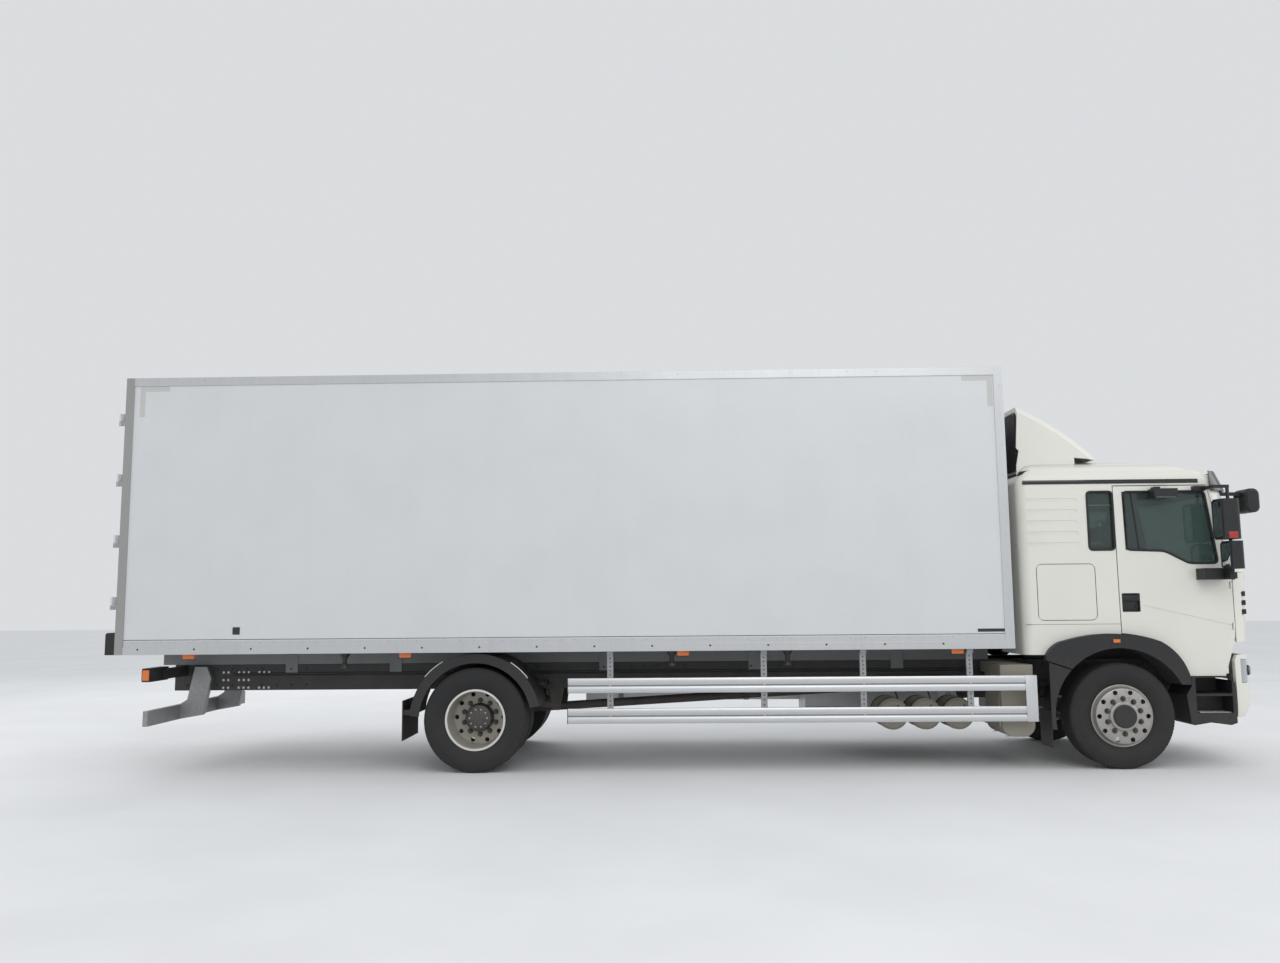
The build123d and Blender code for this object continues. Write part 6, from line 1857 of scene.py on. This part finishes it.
    def _wipers(self, shop: Workshop) -> None:
        """Adds the three wipers with their arms and pivots."""
        screen, panel = shop.touch("cab_glass", 0.014), shop.touch("front_panel", 0.012)
        pivot = [(0, 0.0), (0, 0.020), (0.016, 0.018), (0.020, 0.0)]
        wipers = Shape()
        for y, reach in ((-0.72, 0.60), (-0.08, 0.60), (0.56, 0.32)):
            foot = panel(y, 1.868)
            blade = [screen(y + 0.05 + reach * step / 6, 2.000 + 0.012 * step) for step in range(7)]
            wipers.tube([foot, screen(y + 0.05, 1.990), blade[3]], 0.0075, 8, 0.03)
            wipers.tube(blade, 0.0060, 8)
            wipers.lathe((foot[0] - 0.006, y, 1.868), pivot, "x", 18, False)
        shop.piece("wipers", wipers, Paint.BLACK, "front_panel")

    def _mesh(self, shop: Workshop) -> None:
        """Adds the dark mesh behind the grille's bars."""
        inner = shop.touch("grille", -0.034)
        edge = [inner(-0.748 + 0.0935 * step, 1.4955)[:2] for step in range(17)]
        back = [(x - 0.004, y) for x, y in reversed(edge)]
        mesh = Shape().prism(edge + back, "z", 1.294, 1.696)
        shop.piece("grille_mesh", mesh, Paint.BLACK, "grille")

    def _fairing(self, shop: Workshop) -> None:
        """Adds a dark sheet of painted shade across the fairing's open rear, and the struts that show there.
        """
        # the dark sheet is painted shade inside the fairing; the struts are real parts
        lining = Shape().slab((3.420, -0.900, 2.960), (3.428, 0.900, 3.520), 0.003)
        for y in (-0.62, 0.62):
            lining.tube([(3.440, y, 3.030), (3.700, y, 3.060), (3.430, y, 3.480)], 0.014, 10, 0.05)
        shop.piece("fairing_shade_sheet", lining, Paint.BLACK, "roof_fairing")


@dataclass
class Cushion:
    """One padded soft piece of the cab.

    Attributes:
        name: Its name.
        low: Its lowest corner.
        high: Its highest corner.
        crown: How far its faces swell.
        seam: How deep its sewn channels pull in.
        channels: Number of sewn channels across it.
        lean: How far it leans back, in degrees.
        pinch: Share of its thickness that is lost at the edges.
        under: Share of the crown that its underside or back gets.
        waist: How far its sides pull in between the corners.
    """

    name: str
    low: Point
    high: Point
    crown: float
    seam: float
    channels: int
    lean: float
    pinch: float = 0.38
    under: float = 0.3
    waist: float = 0.012

    def mesh(self, steps: int = 20) -> bpy.types.Mesh:
        """Makes a crowned closed cushion whose sides pull in between its corners.

        Args:
            steps: Divisions of each face.

        Returns:
            The mesh.
        """
        form = bmesh.new()
        bmesh.ops.create_cube(form, size=2.0)
        bmesh.ops.subdivide_edges(form, edges=form.edges[:], cuts=steps - 1, use_grid_fill=True)
        half = (Vector(self.high) - Vector(self.low)) / 2
        middle = (Vector(self.high) + Vector(self.low)) / 2
        turn = Matrix.Rotation(math.radians(-self.lean), 3, "Y")
        thin = min(range(3), key=lambda axis: half[axis])
        wide = [axis for axis in range(3) if axis != thin]
        for vert in form.verts:
            unit = vert.co.copy()
            bulge = (1 - unit[wide[0]] ** 2) * (1 - unit[wide[1]] ** 2)
            place = Vector(unit[axis] * half[axis] for axis in range(3))
            edge = max(abs(unit[wide[0]]), abs(unit[wide[1]])) ** 6
            place[thin] *= 1 - self.pinch * edge
            place[thin] += math.copysign(self.crown * bulge, unit[thin]) * (
                self.under if unit[thin] < 0 else 1.0
            )
            for first, second in (wide, wide[::-1]):
                pull = (1 - unit[second] ** 2) * abs(unit[first]) ** 3
                place[first] -= math.copysign(self.waist * pull, unit[first])
            if self.channels:
                wave = math.cos(math.pi * self.channels * (unit[1] + 1) / 2) ** 16
                if unit[thin] > 0.5:
                    place[thin] -= self.seam * wave * (1 - abs(unit[wide[0]]) ** 8)
            vert.co = middle + turn @ place
        mesh = bpy.data.meshes.new(self.name)
        bmesh.ops.recalc_face_normals(form, faces=form.faces)
        form.to_mesh(mesh)
        form.free()
        mesh.shade_smooth()
        return mesh


@dataclass
class Interior:
    """Seats and bunk of the cab.

    Attributes:
        seat_x: X of the seats' middle.
        seat_y: Lateral place of a seat.
        floor: Height of the cab floor.
    """

    seat_x: float = 4.610
    seat_y: float = 0.700
    floor: float = 1.340

    def build(self, shop: Workshop) -> None:
        """Makes the seats, their plinths and the bunk."""
        x, z = self.seat_x, self.floor
        bases = Shape()
        for y in (-self.seat_y, self.seat_y):
            bases.slab((x - 0.165, y - 0.165, z), (x + 0.165, y + 0.165, z + 0.245), 0.015)
            bases.slab((x - 0.200, y - 0.200, z + 0.225), (x + 0.215, y + 0.200, z + 0.262), 0.012)
        shop.piece("seat_bases", bases, Paint.DASH, "seats", ("seats",))
        # columns: label, ends in X, half width, heights, crown, seam, channels, lean
        table = (
            ("seat_cushion", -0.235, 0.262, 0.225, 0.262, 0.385, 0.012, 0.010, 4, 4.0),
            ("seat_back", -0.345, -0.225, 0.222, 0.360, 0.870, 0.014, 0.010, 4, 11.0),
            ("head_rest", -0.392, -0.300, 0.130, 0.880, 1.035, 0.012, 0.0, 0, 8.0),
        )
        for name, side in SIDES.items():
            y = side * self.seat_y
            for label, x0, x1, half, z0, z1, *form in table:
                low, high = (x + x0, y - half, z + z0), (x + x1, y + half, z + z1)
                cushion = Cushion(f"{label}_{name}", low, high, *form)
                pad = shop.piece(cushion.name, cushion.mesh(), Paint.FABRIC, "seats")
        bunk = Cushion("bunk_mattress", (3.393, -0.945, 1.642), (3.885, 0.945, 1.750), 0.010, 0.012, 8, 0.0)
        shop.piece(bunk.name, bunk.mesh(32), Paint.BUNK, "seats")


@dataclass
class Chassis:
    """Bolts, straps, pipes and brackets under the truck.

    Attributes:
        frame_half: Half width over the ladder frame.
        rail_mid: Height of the frame rails' middle.
        rear: X of the rear axle.
        axle_z: Height of the axles.
        tanks: X of each air tank.
    """

    frame_half: float = 0.430
    rail_mid: float = 0.882
    rear: float = -2.070
    axle_z: float = 0.507
    tanks: tuple[float, ...] = (2.078, 2.406, 2.734)

    def build(self, shop: Workshop) -> None:
        """Adds every detail of the chassis."""
        for name, side in SIDES.items():
            self._bolts(shop, name, side)
            self._pipes(shop, name, side)
        self._air_tanks(shop)
        self._fuel_tank(shop)
        bands = Shape()
        for y in (-0.62, -1.02):
            bands.slab((3.1465, y - 0.018, 0.3015), (3.3735, y + 0.018, 0.3055), 0.001)
        for x in (3.0955, 3.4205):
            bands.slab((x, -1.038, 0.390), (x + 0.004, -1.002, 0.860), 0.001)
        shop.piece("silencer_bands", bands, Paint.BRIGHT, "silencer")
        rows = [
            (
                (-5.374, side * 0.465 - 0.02, 0.500), 2, (0, 0.04, 0), 2, (0, 0, 0.07)
            ) for side in SIDES.values()
        ]
        shop.fasteners(
            "underrun_bolts", Paint.BRIGHT, "underrun", partial(bolt_head, 0.013, 0.011, "x"), rows
        )

    def _bolts(self, shop: Workshop, name: str, side: int) -> None:
        """Sets bolts along a frame rail and hoops on the rear mudguard."""
        y = side * self.frame_half
        rows = [
            ((first, y, self.rail_mid - 0.085), count, (step, 0, 0), 2, (0, 0, 0.170))
            for first, count, step in ((-5.30, 9, 0.16), (-1.55, 12, 0.14), (0.55, 6, 0.15), (3.30, 12, 0.15))
        ]
        bolt = partial(bolt_head, 0.012, 0.012, side=side)
        shop.fasteners(f"rail_bolts_{name}", Paint.FRAME, "frame_rails", bolt, rows)
        # columns: X of the first, number in a row, rows, distance of the rows
        table = ((-4.906, 2, 3, 0.080), (-4.740, 3, 3, 0.080), (-4.522, 3, 2, 0.160))
        rows = [
            ((first, y, 0.775), across, (0.052, 0, 0), count, (0, 0, rise))
            for first, across, count, rise in table
        ]
        bolt = partial(bolt_head, 0.010, 0.010, side=side)
        shop.fasteners(f"rail_bolts_rear_{name}", Paint.BRIGHT, "frame_rails", bolt, rows)
        hoops, radius = Shape(), 0.654
        for start in (38, 120):
            arc = [math.radians(start + 4 * step) for step in range(6)]
            line = [
                (self.rear + radius * math.cos(turn), side * 1.215, self.axle_z + radius * math.sin(turn))
                for turn in arc
            ]
            hoops.tube(line, 0.006, 8)
        shop.piece(f"guard_hoops_{name}", hoops, Paint.FLANGE, "rear_mudguards")

    def _pipes(self, shop: Workshop, name: str, side: int) -> None:
        """Runs the steel brake pipes along a frame rail and to the axle."""
        pipes, y = Shape(), side * (self.frame_half + 0.004)
        for z in (self.rail_mid + 0.022, self.rail_mid + 0.044):
            pipes.tube([(-4.80, y, z), (3.00, y, z)], 0.006, 8)
        shop.piece(f"rail_pipes_{name}", pipes, Paint.BLACK, "frame_rails")
        line = ((0.46, 0.436, 0.800), (0.36, 0.500, 0.780), (0.24, 0.520, 0.700), (0.12, 0.470, 0.640))
        branch = Shape().tube([(self.rear + x, side * y, z) for x, y, z in line], 0.007, 8, 0.06)
        shop.piece(f"brake_pipe_{name}", branch, Paint.BRIGHT, "frame_rails")

    def _air_tanks(self, shop: Workshop) -> None:
        """Adds the straps, drain plugs, side fittings and lines of the air tanks."""
        straps, plugs, lines = Shape(), Shape(), Shape()
        section = [(-0.018, 0.1548), (-0.018, 0.1575), (0.018, 0.1575), (0.018, 0.1548)]
        plug = [(0, 0.0), (0, 0.013), (-0.016, 0.013), (-0.016, 0.0)]
        fitting = [(0, 0.0), (0, 0.024), (-0.010, 0.024), (-0.010, 0.013), (-0.024, 0.013), (-0.024, 0.0)]
        run = ((0, -0.915, 0.507), (0.05, -0.930, 0.560), (0.06, -0.80, 0.690), (0.06, -0.60, 0.760))
        for x in self.tanks:
            for y in (-0.82, -0.53):
                straps.lathe((x, y, self.axle_z), section, "y", 48)
            plugs.lathe((x, -0.68, 0.355), plug, "z", 6, False)
            plugs.lathe((x, -0.899, self.axle_z), fitting, "y", 6, False)
            lines.tube([(x + along, y, z) for along, y, z in run], 0.007, 8, 0.05)
        shop.piece("air_tank_straps", straps, Paint.FRAME, "air_tanks")
        shop.piece("air_tank_plugs", plugs, Paint.BRIGHT, "air_tanks")
        shop.piece("air_tank_lines", lines, Paint.BLACK, "air_tanks")

    def _fuel_tank(self, shop: Workshop) -> None:
        """Adds the fuel tank's straps, filler cap and sender."""
        outline = [
            (0.430, 0.9035), (1.050, 0.9035), (1.1035, 0.850), (1.1035, 0.390), (1.050, 0.3365),
            (0.430, 0.3365),
            (0.430, 0.3410), (1.048, 0.3410), (1.0990, 0.392), (1.0990, 0.848), (1.048, 0.8990),
            (0.430, 0.8990),
        ]
        straps = Shape()
        for x in (1.73, 2.53):
            straps.prism(outline, "x", x - 0.028, x + 0.028)
        shop.piece("fuel_tank_straps", straps, Paint.BRIGHT, "fuel_tank")
        section = [
            (0, 0.0), (0, 0.052), (0.020, 0.052), (0.022, 0.044), (0.044, 0.044), (0.048, 0.038), (0.048, 0.0)
        ]
        cap = Shape().lathe((2.70, 0.96, 0.898), section, "z", 32, False)
        shop.piece("fuel_cap", cap, Paint.BLACK, "fuel_tank")
        section = [(0, 0.0), (0, 0.048), (0.006, 0.048), (0.008, 0.030), (0.016, 0.028), (0.016, 0.0)]
        sender = Shape().lathe((2.05, 0.75, 0.899), section, "z", 24, False)
        sender.tube([(2.05, 0.75, 0.912), (2.05, 0.70, 0.935), (1.95, 0.46, 0.920)], 0.007, 8, 0.05)
        shop.piece("fuel_sender", sender, Paint.BLACK, "fuel_tank")


@dataclass
class Guards:
    """Details of the side guards, markers, mudguards and rear lamps.

    Attributes:
        face: Lateral place of the guards' outer face.
        rear: X where the guard rails start.
        front: X where the end post starts.
        lamp_x: X of the rear lamps' face.
        posts: X of each guard post.
        rails: Height of each guard rail's lower edge.
    """

    face: float = 1.240
    rear: float = -1.158
    front: float = 3.292
    lamp_x: float = -5.410
    posts: tuple[float, ...] = (-0.741, 0.765, 1.732, 2.767)
    rails: tuple[float, float] = (0.467, 0.760)

    def build(self, shop: Workshop) -> None:
        """Adds the details of both sides."""
        for name, side in SIDES.items():
            self._rails(shop, name, side)
            self._posts(shop, name, side)
            self._markers(shop, name, side)
            self._lamp(shop, name, side)

    def _rails(self, shop: Workshop, name: str, side: int) -> None:
        """Adds a dark strip of painted shade in the guard rails' groove, and their end caps and bolts."""
        face, start, stop = self.face, self.rear, self.front
        middles = [low + 0.0725 for low in self.rails]
        # dark strips recessed in each rail's groove: painted shade
        lines = [
            (start + 0.004, stop - 0.001, face - 0.0095, face - 0.0065, z - 0.0065, z + 0.0065, 0.0)
            for z in middles
        ]
        caps = [
            (start - 0.004, start + 0.003, face - 0.0315, face + 0.0015, low - 0.0015, low + 0.1465, 0.002)
            for low in self.rails
        ]
        cover = (stop - 0.001, stop + 0.1085, face - 0.002, face + 0.0015, 0.4655, 0.9065, 0.001)
        shop.blocks(f"guard_groove_shade_{name}", Paint.SUBFRAME, "guard_rails", side, lines)
        shop.blocks(f"guard_caps_{name}", Paint.BLACK, "guard_rails", side, caps)
        shop.blocks(f"end_post_cover_{name}", Paint.GUARD, "guard_posts", side, [cover])
        y = side * (face - 0.0065)
        rows = [((x, y, z), 1, (1, 0, 0)) for z in middles for x in self.posts]
        bolt = partial(dome, 0.010, 0.004, side=side)
        shop.fasteners(f"guard_bolts_{name}", Paint.BRIGHT, "guard_rails", bolt, rows)

    def _posts(self, shop: Workshop, name: str, side: int) -> None:
        """Marks the holes of the galvanised posts with thin dark discs of painted shade, and adds the waisted
        hangers of the box's edge.
        """
        # thin dark discs on the posts' face: painted shade inside their holes
        rim = [(0.0, 0.0), (0.0, 0.0075), (side * 0.0012, 0.0075), (side * 0.0012, 0.0)]
        y = side * (self.face - 0.030)
        rows = [
            ((x, y, low), 1, (1, 0, 0), count, (0, 0, step))
            for x in self.posts
            for low, count, step in ((0.640, 3, 0.045), (0.935, 5, 0.040))
        ]
        hole = partial(turned, rim, 12)
        shop.fasteners(f"post_hole_shade_{name}", Paint.FRAME, "guard_posts", hole, rows)
        waist = [
            (-0.150, 0.0), (-0.150, 0.050), (-0.130, 0.046), (-0.098, 0.022), (-0.058, 0.022),
            (-0.018, 0.050),
            (0.001, 0.055), (0.001, 0.0),
        ]
        hangers = Shape()
        for x in (-3.390, -0.134, 1.005):
            hangers.lathe((x, side * 1.150, 1.166), waist, "z", 24, False)
        shop.piece(f"edge_hangers_{name}", hangers, Paint.FRAME, "box_floor")

    def _markers(self, shop: Workshop, name: str, side: int) -> None:
        """Adds a black foot and a reflector to each side marker, and the flap's ribs."""
        places = (-4.926, -2.765, -0.024, 2.650)
        near, out = self.face - 0.026, self.face - 0.001
        feet = [(x - 0.064, x + 0.064, near, near + 0.022, 1.112, 1.1205, 0.002) for x in places]
        lenses = [(x + 0.006, x + 0.050, out, out + 0.0045, 1.126, 1.156, 0.002) for x in places]
        ribs = [0.650 + 0.066 * index for index in range(9)]
        flap = [(-2.789, -2.785, y - 0.006, y + 0.006, 0.330, 0.690, 0.001) for y in ribs]
        shop.blocks(f"marker_feet_{name}", Paint.BLACK, "side_markers", side, feet)
        shop.blocks(f"marker_lenses_{name}", Paint.ORANGE_LENS, "side_markers", side, lenses)
        shop.blocks(f"flap_ribs_{name}", Paint.BLACK, "rear_mudguards", side, flap)

    def _lamp(self, shop: Workshop, name: str, side: int) -> None:
        """Adds the red, orange and white fields of a rear lamp unit and its side lens."""
        face = self.lamp_x
        for label, first, last, look in (
            ("tail", 1.060, 1.178, Paint.RED_LENS),
            ("turn", 0.940, 1.050, Paint.ORANGE_LENS),
            ("reverse", 0.866, 0.932, Paint.WHITE_LENS),
            ("stop", 0.800, 0.858, Paint.RED_LENS),
        ):
            row = (face - 0.010, face + 0.004, first, last, 0.906, 1.012, 0.004)
            shop.blocks(f"{label}_field_{name}", look, "rear_lamps", side, [row])
        row = (face + 0.006, face + 0.074, 1.189, 1.194, 0.908, 1.010, 0.002)
        shop.blocks(f"lamp_side_lens_{name}", Paint.ORANGE_LENS, "rear_lamps", side, [row])


def corners(pair: tuple[Vector, Vector]) -> list[list[float]]:
    """Gives a box as plain lists of numbers."""
    return [[round(float(part), 5) for part in corner] for corner in pair]


def main() -> None:
    """Builds the studio and the truck, piece by piece."""
    logging.basicConfig(level=logging.INFO, format="%(message)s")
    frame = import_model()
    solid_box = corners(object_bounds())
    Studio().build()
    shop = Workshop(frame)
    shop.dress()
    for assembly in ASSEMBLIES:
        assembly.build(shop)
    LOG.info("%d pieces", shop.count)
    {"cad": solid_box, "visual": corners(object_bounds())}


ASSEMBLIES = (Wheels(), BoxBody(), CabTrim(), Interior(), Chassis(), Guards())


if __name__ == "__main__":
    main()
